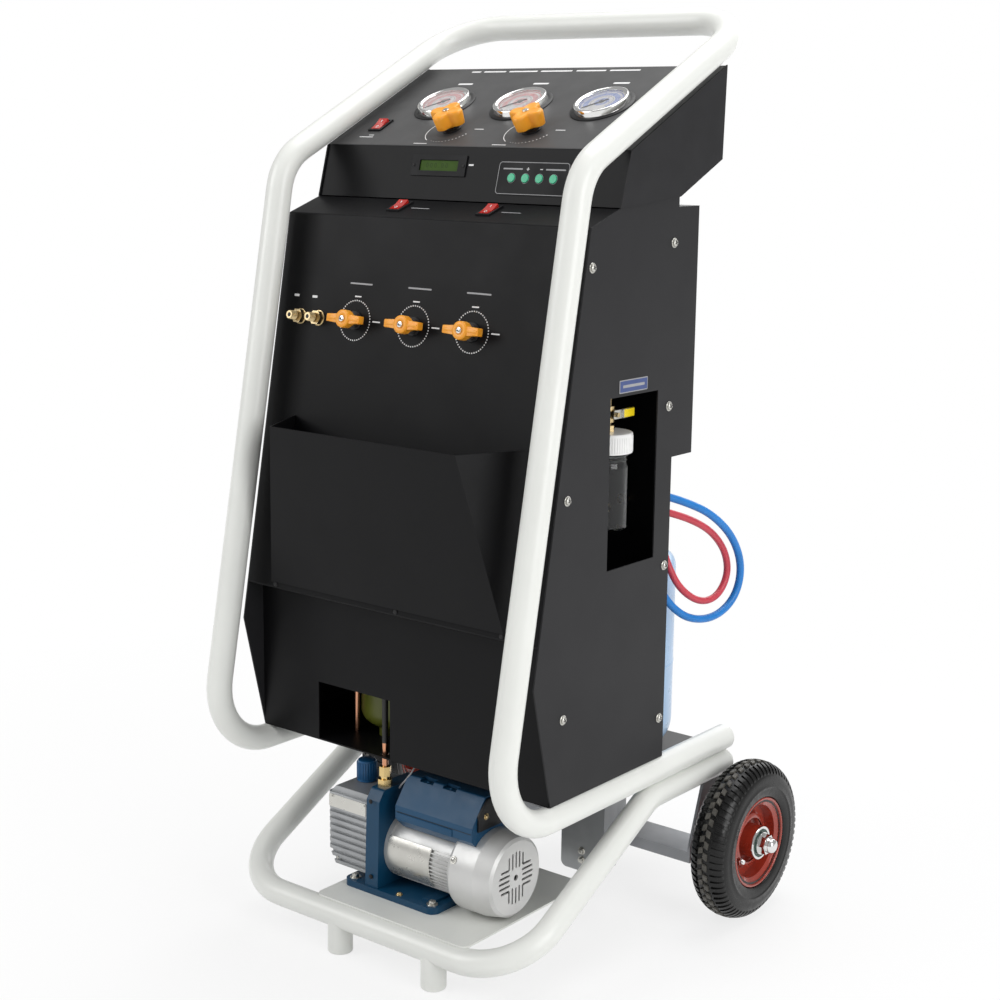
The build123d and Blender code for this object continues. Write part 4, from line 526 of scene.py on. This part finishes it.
camera_data = bpy.data.cameras.new("camera")
camera = bpy.data.objects.new("camera", camera_data)
scene.collection.objects.link(camera)
camera_data.sensor_fit = "HORIZONTAL"
camera_data.sensor_width = 36.0
camera_data.lens = 1789.08 * 36.0 / 1000.0
camera_data.clip_start = 0.05
camera_data.clip_end = 60.0
right = Vector((0.781955, 0.623220, 0.011977))
up = Vector((-0.135687, 0.151430, 0.979111))
back = Vector((0.608388, -0.767245, 0.202974))
camera.matrix_world = Matrix(((right.x, up.x, back.x, 1.45945), (right.y, up.y, back.y, -1.82664),
                              (right.z, up.z, back.z, 1.05238), (0, 0, 0, 1)))
scene.camera = camera

floor_mesh = bpy.data.meshes.new("floor")
floor_mesh.from_pydata([(-14, -14, 0), (14, -14, 0), (14, 14, 0), (-14, 14, 0)], [], [(0, 1, 2, 3)])
floor = bpy.data.objects.new("floor", floor_mesh)
floor.location.z = -0.0006
scene.collection.objects.link(floor)
floor_material, tree, bsdf = shader("floor", (0.88, 0.88, 0.88), 0.75)
bsdf.inputs["Specular IOR Level"].default_value = 0.15
path = tree.nodes.new("ShaderNodeLightPath")
bright = tree.nodes.new("ShaderNodeEmission")
bright.inputs["Strength"].default_value = 1.0
distance = tree.nodes.new("ShaderNodeVectorMath")
distance.operation = "LENGTH"
tree.links.new(coordinates(tree), distance.inputs[0])
far = remap(tree, distance.outputs["Value"], 0.78, 1.0, 0.4, 1.5)
visible = tree.nodes.new("ShaderNodeMath")
visible.operation = "MAXIMUM"
tree.links.new(path.outputs["Is Camera Ray"], visible.inputs[0])
tree.links.new(path.outputs["Is Glossy Ray"], visible.inputs[1])
share = tree.nodes.new("ShaderNodeMath")
share.operation = "MULTIPLY"
tree.links.new(far, share.inputs[0])
tree.links.new(visible.outputs[0], share.inputs[1])
mixed = tree.nodes.new("ShaderNodeMixShader")
tree.links.new(share.outputs[0], mixed.inputs[0])
tree.links.new(bsdf.outputs[0], mixed.inputs[1])
tree.links.new(bright.outputs[0], mixed.inputs[2])
tree.links.new(mixed.outputs[0], tree.nodes["Material Output"].inputs["Surface"])
floor_mesh.materials.append(floor_material)

world = bpy.data.worlds.new("world")
scene.world = world
world.use_nodes = True
tree = world.node_tree
ground = tree.nodes["Background"]
ground.inputs["Color"].default_value = (1, 1, 1, 1)
ground.inputs["Strength"].default_value = 0.42
white = tree.nodes.new("ShaderNodeBackground")
white.inputs["Color"].default_value = (1, 1, 1, 1)
white.inputs["Strength"].default_value = 1.0
path = tree.nodes.new("ShaderNodeLightPath")
seen = tree.nodes.new("ShaderNodeMath")
seen.operation = "MAXIMUM"
tree.links.new(path.outputs["Is Camera Ray"], seen.inputs[0])
tree.links.new(path.outputs["Is Transmission Ray"], seen.inputs[1])
mixed = tree.nodes.new("ShaderNodeMixShader")
tree.links.new(seen.outputs[0], mixed.inputs[0])
tree.links.new(ground.outputs[0], mixed.inputs[1])
tree.links.new(white.outputs[0], mixed.inputs[2])
tree.links.new(mixed.outputs[0], tree.nodes["World Output"].inputs["Surface"])


def lamp(name, place, target, size, power):
    data = bpy.data.lights.new(name, "AREA")
    data.shape = "RECTANGLE"
    data.size, data.size_y = size
    data.energy = power
    holder = bpy.data.objects.new(name, data)
    holder.location = place
    holder.rotation_euler = (Vector(target) - Vector(place)).to_track_quat("-Z", "Y").to_euler()
    scene.collection.objects.link(holder)


lamp("key_light", (-1.9, -2.6, 2.3), (0, -0.1, 0.6), (1.8, 2.2), 46)
lamp("top_light", (0.1, 0.7, 3.0), (0, 0.0, 0.9), (2.4, 1.8), 44)
lamp("side_light", (3.0, -0.6, 1.6), (0, 0, 0.6), (1.6, 2.4), 46)
lamp("rear_light", (-0.6, 3.0, 1.8), (0, 0, 0.6), (2.2, 2.0), 26)

# Hoses

BLUE_ROUTE = [(178, 69, 587), (178, 92, 587), (184, 118, 583), (205, 155, 569), (219, 198, 548),
              (225, 246, 509), (226, 271, 462), (222, 262, 419), (214, 224, 397), (203, 176, 402),
              (192, 142, 427), (182, 126, 458), (172, 127, 487), (153, 142, 509), (124, 156, 518),
              (95, 156, 518)]
RED_ROUTE = [(150, 69, 571), (150, 89, 571), (157, 110, 568), (182, 138, 556), (199, 178, 541),
             (207, 220, 518), (209, 254, 484), (208, 264, 449), (205, 242, 421), (200, 204, 420),
             (190, 168, 445), (178, 156, 478), (162, 162, 508), (137, 182, 519), (112, 190, 518),
             (95, 190, 518)]


def hose(name, route, diameter, material, node):
    curve = bpy.data.curves.new(name, "CURVE")
    curve.dimensions = "3D"
    spline = curve.splines.new("NURBS")
    spline.points.add(len(route) - 1)
    for point, place in zip(spline.points, route):
        point.co = (*[v / 1000 for v in place], 1)
    spline.order_u = 3
    spline.use_endpoint_u = True
    curve.resolution_u = 10
    line = bpy.data.objects.new(name, curve)
    scene.collection.objects.link(line)
    bpy.context.view_layer.update()
    bare = bpy.data.meshes.new_from_object(line.evaluated_get(bpy.context.evaluated_depsgraph_get()))
    curve.bevel_depth = diameter / 2000
    curve.bevel_resolution = 6
    curve.use_fill_caps = True
    curve.materials.append(material)
    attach(line, "station")
    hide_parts(node)
    return line


hose("blue_hose_line", BLUE_ROUTE, 10.7, hose_blue, "blue_hose")
hose("red_hose_line", RED_ROUTE, 9.8, hose_red, "red_hose")


# Small fasteners, collected by material

# dark gathers flat marks of painted shade: screw crosses, port bores and a groove line on the pump box.
steel, dark, white_marks, grey_marks = Form(), Form(), Form(), Form()
brass_bits, black_bits, silver_bits = Form(), Form(), Form()


def cross(place, r, z):
    # Painted shade: a flat dark cross laid on the head stands for the shade inside a recessed cross.
    for turn in (25, 115):
        dark.box((-r * 0.55, r * 0.55), (-r * 0.12, r * 0.12), (z - 0.3, z), at(place, 0, 0, 0, turn))


def pan_screw(place, r=4.0, height=2.0, washer=0.0, metal=None):
    """A pan head screw with a dark cross of painted shade on its head in place of a recessed cross, on a
    washer where one is given.
    """
    form = metal or steel
    lift = 0.0
    if washer:
        lift = 1.1
        form.lathe([(r * 0.5, 0), (washer, 0), (washer, 0.7), (washer - 0.4, lift), (r * 0.5, lift)],
                   place, 32)
    form.lathe([(0, lift), (r, lift), (r, lift + height * 0.4), (r * 0.93, lift + height * 0.68),
                (r * 0.72, lift + height * 0.9), (r * 0.4, lift + height), (0, lift + height * 1.02)],
               place, 32)
    cross(place, r, lift + height * 1.06)


def hex_bolt(place, flats=8.0, height=3.6, washer=7.0, metal=None):
    form = metal or steel
    form.lathe([(2, 0), (washer, 0), (washer, 0.8), (washer - 0.4, 1.2), (2, 1.2)], place, 32)
    form.prism(circle(flats / 2 / math.cos(math.pi / 6), 6), 1.2, 1.2 + height, place, 0.35)
    form.lathe([(0, 1.2 + height), (flats * 0.40, 1.2 + height), (flats * 0.36, 1.55 + height),
                (0, 1.6 + height)], place, 24)


for y, z in ((-128, 896), (44, 918), (-168, 626), (43, 715), (43, 510), (-168.5, 357), (42, 306)):
    for side in (-1, 1):
        pan_screw(facing((side, 0, 0), side * 245.0, y, z), 4.6, 2.6, 6.3)
for x in (-190, 21, 190):
    pan_screw(at(FRONT, x, front_up(462), 2.0), 3.4, 1.6, metal=black_bits)
for x in (-150, 0, 150):
    for z in (300, 560):
        pan_screw(facing((0, 1, 0), x * 1.5, 53.0, z), 4.0, 2.0, 5.4)
for x in (-232, 232):
    for z in (664, 946):
        pan_screw(facing((0, 1, 0), x, 101.0, z), 3.4, 1.6)

# Panel levers

for name, x in (("left", -106.4), ("middle", -7.8), ("right", 87.0)):
    place = at(FRONT, x, front_up(811))
    lever = Form()
    lever.lathe([(0, 13), (10.6, 13), (11.5, 14.0), (11.5, 23.6), (11.2, 24.6), (10.3, 25.3), (7.4, 25.6),
                 (5.4, 25.2), (4.6, 24.2), (0, 24.1)], place, 56)
    for side in (-1, 1):
        outline = [(side * px, py) for px, py in ((6, -6.4), (12.5, -5.6), (27.2, -5.0), (28, -4.2),
                                                  (28, 4.2), (27.2, 5.0), (12.5, 5.6), (6, 6.4))]
        lever.prism(outline, 13.8, 23.6, place, 0.9)
        rib = [(side * px, py) for px, py in ((9, -2.0), (26, -1.6), (26, 1.6), (9, 2.0))]
        lever.prism(rib, 23.4, 24.3, place, 0.3)
    lever.lathe([(0, 4.5), (7, 4.5), (7, 13.2), (0, 13.2)], place, 32)
    lever.make(name + "_lever_grip", orange, name + "_lever", (name + "_valve_lever",))
    bolt = Form()
    bolt.lathe([(0, 24.0), (4.1, 24.0), (4.1, 25.6), (3.7, 26.3), (2.4, 26.7), (0, 26.8)], place, 32)
    bolt.make(name + "_lever_screw", chrome, name + "_lever")
    # Painted shade: the screw's slot is a flat dark cross standing for the shade inside it.
    slot = Form()
    for turn in (20, 110):
        slot.box((-2.1, 2.1), (-0.45, 0.45), (26.4, 26.9), at(place, 0, 0, 0, turn))
    slot.make(name + "_lever_slot_shade", recess_shade, name + "_lever")
    for dot in range(44):
        a = 2 * math.pi * dot / 44
        white_marks.prism(circle(0.95, 10), 0.03, 0.12, at(place, 25.5 * math.cos(a), 25.5 * math.sin(a)))
    white_marks.prism(rounded(11, 1.7, 0.5), 0.03, 0.12, at(place, 1, 30.6))
    white_marks.prism(rounded(13, 1.7, 0.5), 0.03, 0.12, at(place, 36.5, 0.5))
    grey_marks.prism(rounded(38, 2.0, 0.6), 0.03, 0.12, at(place, 4, 47))
    black_bits.lathe([(4.3, 0.1), (12.5, 0.1), (12.5, 1.4), (11.6, 2.2), (4.3, 2.2)], place, 40)

# Pressure knobs

for name, x in (("left", -65.0), ("right", 65.0)):
    place = at(CONSOLE_TOP, x, 48.5)
    knob = Form()
    part = bmesh.new()
    rings = []
    for z, scale in ((8.0, 0.86), (8.4, 0.90), (9.6, 0.935), (15.0, 0.955), (23.5, 0.99), (25.8, 0.985),
                     (27.2, 0.95), (28.0, 0.87), (28.1, 0.72), (27.4, 0.55), (27.2, 0.30)):
        ring = []
        for i in range(120):
            a = 2 * math.pi * i / 120
            swell = math.cos(4 * a)
            lobe = 19.6 + 5.2 * (1 - (1 - swell) ** 1.35 / 2 ** 0.35)
            if scale < 0.5:
                lobe = 20.0
            ring.append(part.verts.new((lobe * scale * math.cos(a), lobe * scale * math.sin(a), z)))
        rings.append(ring)
    for first, second in zip(rings, rings[1:]):
        for i in range(120):
            part.faces.new((first[i], first[(i + 1) % 120], second[(i + 1) % 120], second[i]))
    part.faces.new(rings[0])
    part.faces.new(rings[-1])
    knob._take(part, place)
    knob.lathe([(0, 4.6), (6.6, 4.6), (7, 5.0), (7, 8.4), (0, 8.4)], place, 32)
    knob.make(name + "_knob_grip", orange, name + "_knob", (name + "_pressure_knob",))
    bolt = Form()
    bolt.lathe([(0, 27.1), (4.2, 27.1), (4.2, 28.4), (3.6, 29.0), (0, 29.2)], place, 28)
    bolt.make(name + "_knob_screw", zinc, name + "_knob")
    white_marks.arc(35.5, 36.6, 128, 236, 0.1, place)
    for dot in range(12):
        a = math.radians(252 + dot * 8)
        grow = 0.5 + dot * 0.05
        white_marks.prism(circle(grow, 8), 0.03, 0.12, at(place, 34 * math.cos(a), 34 * math.sin(a)))
    white_marks.prism(rounded(15, 1.5, 0.4), 0.03, 0.12, at(place, 44, 2))
    white_marks.prism(rounded(22, 1.5, 0.4), 0.03, 0.12, at(place, -24, -39.5))
    black_bits.lathe([(4.3, 0.1), (13, 0.1), (13, 1.6), (12, 2.6), (4.3, 2.6)], place, 40)

# Gauge dials

cases, cups = Form(), Form()
for name, x, ink, tint, ends in (("left", -129.5, print_red, print_pink, 35),
                                 ("middle", 0.0, print_red, print_pink, 35),
                                 ("right", 129.5, print_blue, print_pale_blue, 14)):
    place = at(CONSOLE_TOP, x, 118.0)
    dial = Form()
    dial.lathe([(0, 4.54), (34.0, 4.54), (34.0, 4.62), (0, 4.62)], place, 72)
    dial.make(name + "_dial", dial_white)
    inked = place @ Matrix.Diagonal((0.86, 0.86, 1, 1))
    shade, scale, fine = Form(), Form(), Form()
    shade.arc(21.3, 28.4, -45, 225, 4.65, inked, 60)
    shade.arc(6.0, 12.0, 0, 360, 4.65, inked, 48)
    shade.make(name + "_dial_band", tint, weld=False)
    scale.arc(32.2, 33.6, -45, 225, 4.68, inked, 80)
    scale.arc(20.6, 21.3, -45, 225, 4.68, inked, 60)
    fine.arc(17.2, 17.7, -45, 225, 4.68, inked, 60)
    for i in range(36):
        a = 225 - 270 * i / 35
        long = i % 5 == 0
        scale.box((28.4 if long else 30.4, 32.4), (-0.45 if long else -0.22, 0.45 if long else 0.22),
                  (4.64, 4.7), at(inked, 0, 0, 0, a))
        if i % 2 == 0:
            fine.box((17.2, 19.4), (-0.2, 0.2), (4.64, 4.7), at(inked, 0, 0, 0, a))
    for i in range(8):
        a = math.radians(225 - 270 * i / 7)
        scale.text(str(round(ends * i / 7)), 5.4, at(inked, 25.0 * math.cos(a), 25.0 * math.sin(a), 4.69))
        if i % 2 == 0:
            fine.text(str(i * 10), 3.4, at(inked, 13.8 * math.cos(a), 13.8 * math.sin(a), 4.69))
    scale.make(name + "_scale", ink, weld=False)
    fine.make(name + "_inner_scale", print_black, weld=False)
    cases.lathe([(29.9, 1.0), (29.9, 8.3), (30.6, 8.8), (32.2, 9.5), (34.0, 9.9), (35.4, 9.5), (36.1, 8.6),
                 (36.2, 3.6), (36.8, 2.4), (36.8, 1.0), (29.9, 1.0)], place, 96)
    cases.lathe([(0, 4.6), (1.0, 4.6), (1.0, 5.9), (0, 5.9)], place, 16)
    cups.lathe([(36.9, 0.06), (43.0, 0.06), (43.0, 0.9), (42.2, 1.5), (37.2, 1.8), (36.9, 1.8), (36.9, 0.06)],
               place, 96)
    cups.lathe([(0, -30.0), (36.8, -30.0), (37.9, -29.0), (37.9, 0.05), (29.8, 0.05), (29.8, 4.5), (0, 4.5)],
               place, 72)
    boss = Form()
    boss.lathe([(1.2, 5.7), (3.4, 5.7), (3.4, 6.0), (2.6, 6.2), (1.2, 6.2)], place, 28)
    boss.make(name + "_needle_boss", print_black, name + "_needle")
    white_marks.prism(rounded(25, 4.2, 1.2), 0.03, 0.12, at(place, -12, 64.5))

for x, width in ((-150, 16), (-117, 38), (-68, 48), (-12, 52), (45, 48), (99, 48)):
    white_marks.prism(rounded(width, 3.6, 1.0), 0.03, 0.12, at(CONSOLE_TOP, x, 220.5))
cases.make("gauge_bezels", chrome, replaces=("gauge_cases",))
cups.make("gauge_cups", black_plastic)

# Switch marks

for name, base, x, y in (("power_switch", CONSOLE_TOP, -195.0, 56.0),
                         ("left_ledge_switch", LEDGE, -79.0, 34.0),
                         ("right_ledge_switch", LEDGE, 67.6, 34.0)):
    place = at(base, x, y)
    tipped = place @ Matrix.Translation((0, 0, -3)) @ Matrix.Rotation(math.radians(10), 4, "X")
    tipped = tipped @ Matrix.Translation((0, 0, 3))
    marks = Form()
    marks.box((-0.45, 0.45), (4.2, 8.0), (4.0, 4.75), tipped)
    marks.arc(1.5, 2.2, 0, 360, 4.35, at(tipped, 0, -6.0), 28)
    marks.make(name + "_marks", print_white, name, weld=False)
white_marks.prism(rounded(9, 1.4, 0.4), 0.03, 0.12, at(CONSOLE_TOP, -191, 30))
white_marks.prism(rounded(24, 1.6, 0.4), 0.03, 0.12, at(CONSOLE_TOP, -196, 24.5))
grey_marks.prism(rounded(30, 1.6, 0.4), 0.03, 0.12, at(LEDGE, -44, 33))
grey_marks.prism(rounded(30, 1.6, 0.4), 0.03, 0.12, at(LEDGE, 102, 33))

# Display and keypad

place = at(CONSOLE_FACE, -46.0, 46.0)
panel = Form()
panel.prism(rounded(63.4, 13.4, 0.6), 0.04, 0.3, place)
panel.make("lcd_panel", lcd)
digits = Form()
digits.text("0 0 0 . 0 0", 9.0, at(place, -4, 0, 0.36))
digits.make("lcd_digits", lcd_dark, weld=False)
window = Form()
window.band(rounded(64.2, 14.2, 0.8) + rounded(64.2, 14.2, 0.8)[:1],
            rounded(67.5, 17.5, 1.6) + rounded(67.5, 17.5, 1.6)[:1], 2.06, place)
window.make("display_edge", keypad_film, weld=False)
for x in (-41.2, 41.2):
    pan_screw(at(place, x, 0, 2.0), 2.1, 1.0, metal=black_bits)
white_marks.prism(rounded(8, 2.2, 0.5), 0.03, 0.12, at(place, 52, 2))
pad_at = at(CONSOLE_FACE, 106.7, 33.0)
grey_marks.band(rounded(108.6, 40.6, 4.6) + rounded(108.6, 40.6, 4.6)[:1],
                rounded(107.0, 39.0, 3.8) + rounded(107.0, 39.0, 3.8)[:1], 1.3, pad_at)
for x, width in ((-8.6, 4.2), (12.0, 4.2)):
    white_marks.box((-width / 2, width / 2), (-0.5, 0.5), (1.22, 1.32), at(pad_at, x, 11.6))
white_marks.box((-0.5, 0.5), (-2.1, 2.1), (1.22, 1.32), at(pad_at, -8.6, 11.6))
for x in (-32.0, 34.0):
    grey_marks.prism(rounded(30, 1.8, 0.5), 1.22, 1.3, at(pad_at, x, 11.6))
for i in range(4):
    ring = at(pad_at, -32.4 + 21.6 * i, 0)
    grey_marks.arc(5.95, 6.35, 0, 360, 1.3, ring, 36)

# Service ports

for x in (-202.6, -169.9):
    place = at(FRONT, x, front_up(809.6))
    profile = [(4.2, 11.4)]
    for i in range(8):
        z = 12.0 + i * 1.15
        profile += [(5.25, z), (5.85, z + 0.45), (5.25, z + 0.9)]
    profile += [(4.2, 21.4)]
    brass_bits.lathe(profile, place, 36)
    brass_bits.lathe([(5.4, -0.1), (10.2, 0.1), (10.2, 1.2), (9.6, 1.6), (5.4, 1.6)], place, 36)
    # Painted shade: a thin dark disc at the port's mouth stands for the shade in its bore.
    dark.lathe([(0, 21.9), (2.7, 21.9), (2.7, 22.04), (0, 22.04)], place, 24)
    white_marks.prism(rounded(9, 3.2, 0.9), 0.03, 0.12, at(place, -11.5, 27))


# Tyres and rims

def tread(theta, phi, lift):
    """A point on the tyre: theta round the axle, phi from the crown to the side."""
    c, d = math.cos(math.radians(phi)), math.sin(math.radians(phi))
    r = 81 + (25.4 + lift) * abs(c) ** 0.833
    z = math.copysign((27.45 + lift * 0.16) * abs(d) ** 0.833, d)
    return (r * math.cos(theta), r * math.sin(theta), z)


def tread_block(form, middle, width, slant, low, high, lift, rows, place):
    """A block with sloping walls between two section angles."""
    top, foot = [], []
    for i in range(rows + 1):
        t = i / rows
        phi = low + (high - low) * t
        shift = slant * (t - 0.5)
        phi_top = low + (high - low) * (0.06 + 0.88 * t)
        top.append([tread(middle + shift + width * k, phi_top, lift) for k in (-0.42, 0.0, 0.42)])
        foot.append([tread(middle + shift + width * k, phi, -0.6) for k in (-0.5, 0.0, 0.5)])
    form.pad(top, foot, place)


for side, body in ((-1, "left_wheel"), (1, "right_wheel")):
    wheel = facing((side, 0, 0), side * WHEEL_X, AXLE_Y, AXLE_Z)
    carcass = Form()
    profile = [(55.6, -22.0), (62.3, -22.0), (63.6, -24.6), (67.0, -26.2), (73.0, -27.0), (76.0, -27.3),
               (77.0, -27.95), (78.6, -27.95), (79.6, -27.4)]
    steps = 26
    for i in range(steps + 1):
        x, y, z = tread(0.0, -84 + 168 * i / steps, 0.0)
        profile.append((x, z))
    profile += [(79.6, 27.4), (78.6, 27.95), (77.0, 27.95), (76.0, 27.3), (73.0, 27.0), (67.0, 26.2),
                (63.6, 24.6), (62.3, 22.0), (55.6, 22.0)]
    carcass.lathe(profile, wheel, 96)
    count = 68
    pitch = 2 * math.pi / count
    for i in range(count):
        for sign in (-1, 1):
            tread_block(carcass, i * pitch + sign * 0.2 * pitch, pitch * 0.60, 0.30 * pitch * sign, sign * 16,
                        sign * 64, 2.3, 6, wheel)
    carcass.make(body + "_tyre_carcass", rubber, body, (("left" if side < 0 else "right") + "_tyre",),
                 angle=30)
    blocks = Form()
    count = 44
    pitch = 2 * math.pi / count
    for i in range(count):
        for sign, offset in ((-1, 0.0), (1, 0.5)):
            tread_block(blocks, (i + offset) * pitch, pitch * 0.60, 0.15 * pitch, sign * 0.4, sign * 10.5,
                        2.55, 3, wheel)
    blocks.make(body + "_tread_blocks", worn_rubber, body, angle=30)
    rim = Form()
    for z in (-22.4, 22.4):
        rim.lathe([(60.4 + 1.9 * math.cos(math.radians(a)), z + 1.9 * math.sin(math.radians(a)))
                   for a in range(0, 361, 30)], wheel, 96)
    rim.lathe([(30.8, 10.6), (33.5, 10.2), (36.5, 8.4), (36.5, 7.6), (30.8, 7.6)], wheel, 72)
    rim.make(body + "_rim_edge", rim_red, body)
    seal = Form()
    seal.lathe([(15.5, 24.6), (15.5, 25.5), (16.2, 25.9), (18.8, 25.9), (19.3, 25.5), (19.3, 24.6)],
               wheel, 56)
    seal.make(body + "_bearing_seal", seal_green, body)
    shell = Form()
    shell.lathe([(19.4, 24.0), (19.4, 26.2), (20.0, 26.6), (22.6, 26.4), (23.1, 25.4), (23.1, 24.0)],
                wheel, 56)
    stem = facing((side, 0, 0), side * (WHEEL_X + 12), AXLE_Y - 38, AXLE_Z - 17)
    shell.lathe([(0, 0), (4.4, 0), (4.4, 6.6), (4.1, 7.4), (3.4, 10.6), (2.9, 11.2), (0, 11.4)], stem, 24)
    for i in range(14):
        shell.box((4.2, 4.75), (-0.35, 0.35), (0.6, 6.4), at(stem, 0, 0, 0, i * 360 / 14))
    shell.make(body + "_bearing_shell", chrome, body)
    axle = Form()
    end = facing((side, 0, 0), side * WHEEL_X, AXLE_Y, AXLE_Z)
    axle.lathe([(8.5, 28.4), (15.3, 28.4), (15.6, 28.8), (15.3, 29.3), (8.5, 29.3)], end, 40)
    axle.lathe([(0, 49.0), (4.5, 48.9), (8.0, 47.2), (9.8, 44.2), (10.2, 40.0), (10.9, 38.6), (10.9, 38.0),
                (0, 38.0)], end, 40)
    axle.make(body + "_axle_nut", chrome)


# Vacuum pump

def barrel(angle, r, x):
    a = math.radians(angle)
    return (x, PUMP_Y - r * math.cos(a), PUMP_Z + r * math.sin(a))


for i in range(17):
    angle = -82 + 7.0 * i
    turn = Matrix.Translation((0, PUMP_Y, PUMP_Z)) @ Matrix.Rotation(math.radians(90 - angle), 4, "X")
    silver_bits.box((-12.8, 88.8), (-0.8, 0.8), (41.5, 45.6), turn, 0.3, 1)
plate = Form()
rows = [[barrel(a, 46.5, x) for x in (-13.6, 20, 57.5)] for a in range(-42, 31, 4)]
foot = [[barrel(a, 45.7, x) for x in (-14.0, 20, 58.0)] for a in range(-42, 31, 4)]
plate.pad(rows, foot)
plate.make("motor_plate", plate_silver)
for a in (25, 145, -95):
    out = (0, -math.cos(math.radians(a)), math.sin(math.radians(a)))
    pan_screw(facing(out, *barrel(a, 57.0, 104)), 3.4, 1.8, 5.2)
band = Form()
band.prism(rounded(66, 17.5, 1.2), 0.0, 0.7, facing((0, -1, 0), -84, -197.0, 174.6), 0.25, 1)
band.make("casing_plate", plate_silver)
for x in (-110, -52):
    for z in (95.5, 181.5):
        pan_screw(facing((0, -1, 0), x if z > 100 else x + 8, -197.6, z), 2.0, 1.2)
black_bits.prism([(-186, 188), (-112, 188), (-112, 222), (-118, 228), (-168, 228), (-186, 210)], 128.0, 131.5,
                 Matrix(((0, 0, 1, 0), (1, 0, 0, 0), (0, 1, 0, 0), (0, 0, 0, 1))), 0.8)
pan_screw(facing((1, 0, 0), 131.4, -172, 206), 3.0, 2.0, 4.4, brass_bits)
boxed = Form()
boxed.box((3, 125), (-130, -108.5), (229.5, 236.0), IDENTITY, 1.6)
boxed.box((3, 96), (-197.4, -195.0), (176.5, 186.5), IDENTITY, 1.0)
for x in (33, 71):
    boxed.prism(circle(2.4, 20), 225.8, 227.6, Matrix.Translation((x, -168, 0)), 0.3)
boxed.make("terminal_box_detail", box_blue)
# Painted shadow: a thin dark strip along the box front stands for the shadow in a groove.
dark.box((1.0, 127.0), (-196.2, -195.6), (187.0, 187.8))
for x in (-68, 66):
    for y in (-199, -103):
        hex_bolt(Matrix.Translation((x, y, 77.8)) @ Matrix.Rotation(0.3, 4, "Z"), 9.0, 3.8, 7.6)
pan_screw(Matrix.Translation((14, -204, 77.8)), 3.4, 2.4, 4.6, brass_bits)
for x, z in ((-31, 92), (-31, 196)):
    pan_screw(facing((0, -1, 0), x, -209.0, z), 3.0, 1.8, metal=black_bits)
wire = Form()
wire.tube([(-18, -168, 206), (-12, -172, 212), (-3, -174, 221), (4, -170, 232), (7, -163, 243),
           (7, -156, 254)], 1.1)
wire.make("pump_wire", print_grey)
cap_at = Matrix.Translation((-91, PUMP_Y, 195.3))
cap = Form()
cap.lathe([(8.5, 0), (13.2, 0), (13.6, 0.5), (13.6, 2.6), (12.9, 3.2), (12.9, 26.4), (12.2, 28.6),
           (10.4, 29.7), (0, 30.0)], cap_at, 60)
for i in range(24):
    cap.box((12.4, 14.0), (-0.85, 0.85), (3.4, 26.2), at(cap_at, 0, 0, 0, i * 15), 0.35, 1)
cap.make("filler_cap_shell", cap_blue, "filler_cap", ("pump_filler_cap",))

# Oil bay, cylinder, scale and hose ends

label = facing((1, 0, 0), 245.0, -37.0, 750.0)
tag = Form()
tag.prism(rounded(60, 16, 1.0), 0.0, 0.6, label, 0.2, 1)
tag.make("oil_tag_edge", print_grey)
tag = Form()
tag.prism(rounded(57.4, 13.4, 0.6), 0.55, 0.85, label, 0.1, 1)
tag.make("oil_tag", label_blue)
grey_marks.prism(rounded(46, 3.4, 1.0), 0.8, 0.92, label)
jar_at = Matrix.Translation((205, -33, 0))
grip = Form()
grip.box((215.05, 219.55), (-18.0, 5.3), (704.4, 715.6), IDENTITY, 1.2)
grip.make("oil_lever_sleeve", yellow, "oil_lever")
ribs = Form()
for i in range(60):
    ribs.box((31.8, 32.5), (-0.7, 0.7), (664.5, 684.0), at(jar_at, 0, 0, 0, i * 6), 0.15, 1)
ribs.make("jar_cap_ribs", cap_white, "jar")
neck = Form()
for z in (655.0, 660.0):
    neck.lathe([(26.6, z - 1.2), (28.6, z), (26.6, z + 1.2)], jar_at, 56)
neck.make("jar_neck_bead", clear, "jar")
can = Form()
drum = Matrix.Translation((45, 173, 0))
can.lathe([(113.6, 318), (114.3, 319), (114.6, 321), (114.3, 323), (113.6, 324)], drum, 96)
can.lathe([(17, 490), (21, 490), (21, 493.5), (17, 495)], drum, 48)
can.make("cylinder_seams", cylinder_paint)
for z in (75.0, 88.0):
    hex_bolt(facing((0, -1, 0), 124.0, 47.0, z), 7.0, 3.0, 5.6)
for x in (100, 150):
    hex_bolt(facing((0, -1, 0), x, 29.0, 240), 6.0, 2.4, 4.6)
for (x, y, z), (u, v, w), r in (((178, 66, 587), (0, 1, 0), 6.9), ((150, 66, 571), (0, 1, 0), 6.4),
                               ((98, 156, 518), (1, 0, 0), 6.9), ((98, 190, 518), (1, 0, 0), 6.4)):
    place = facing((u, v, w), x, y, z)
    steel.lathe([(5.0, 2.5), (r + 0.5, 2.5), (r + 0.5, 4.2), (r, 4.8), (r, 7.0), (r - 0.5, 7.6), (r, 8.2),
                 (r, 10.4), (r - 0.5, 11.0), (r, 11.6), (r, 13.6), (r - 0.4, 14.2), (5.0, 14.2)], place, 36)

steel.make("steel_fasteners", zinc)
# The flat marks of painted shade, as one object.
dark.make("painted_shade_marks", recess_shade, weld=False)
white_marks.make("white_prints", print_white, weld=False)
grey_marks.make("grey_prints", print_grey, weld=False)
brass_bits.make("brass_details", brass)
black_bits.make("black_details", black_plastic)
silver_bits.make("motor_fins", silver)
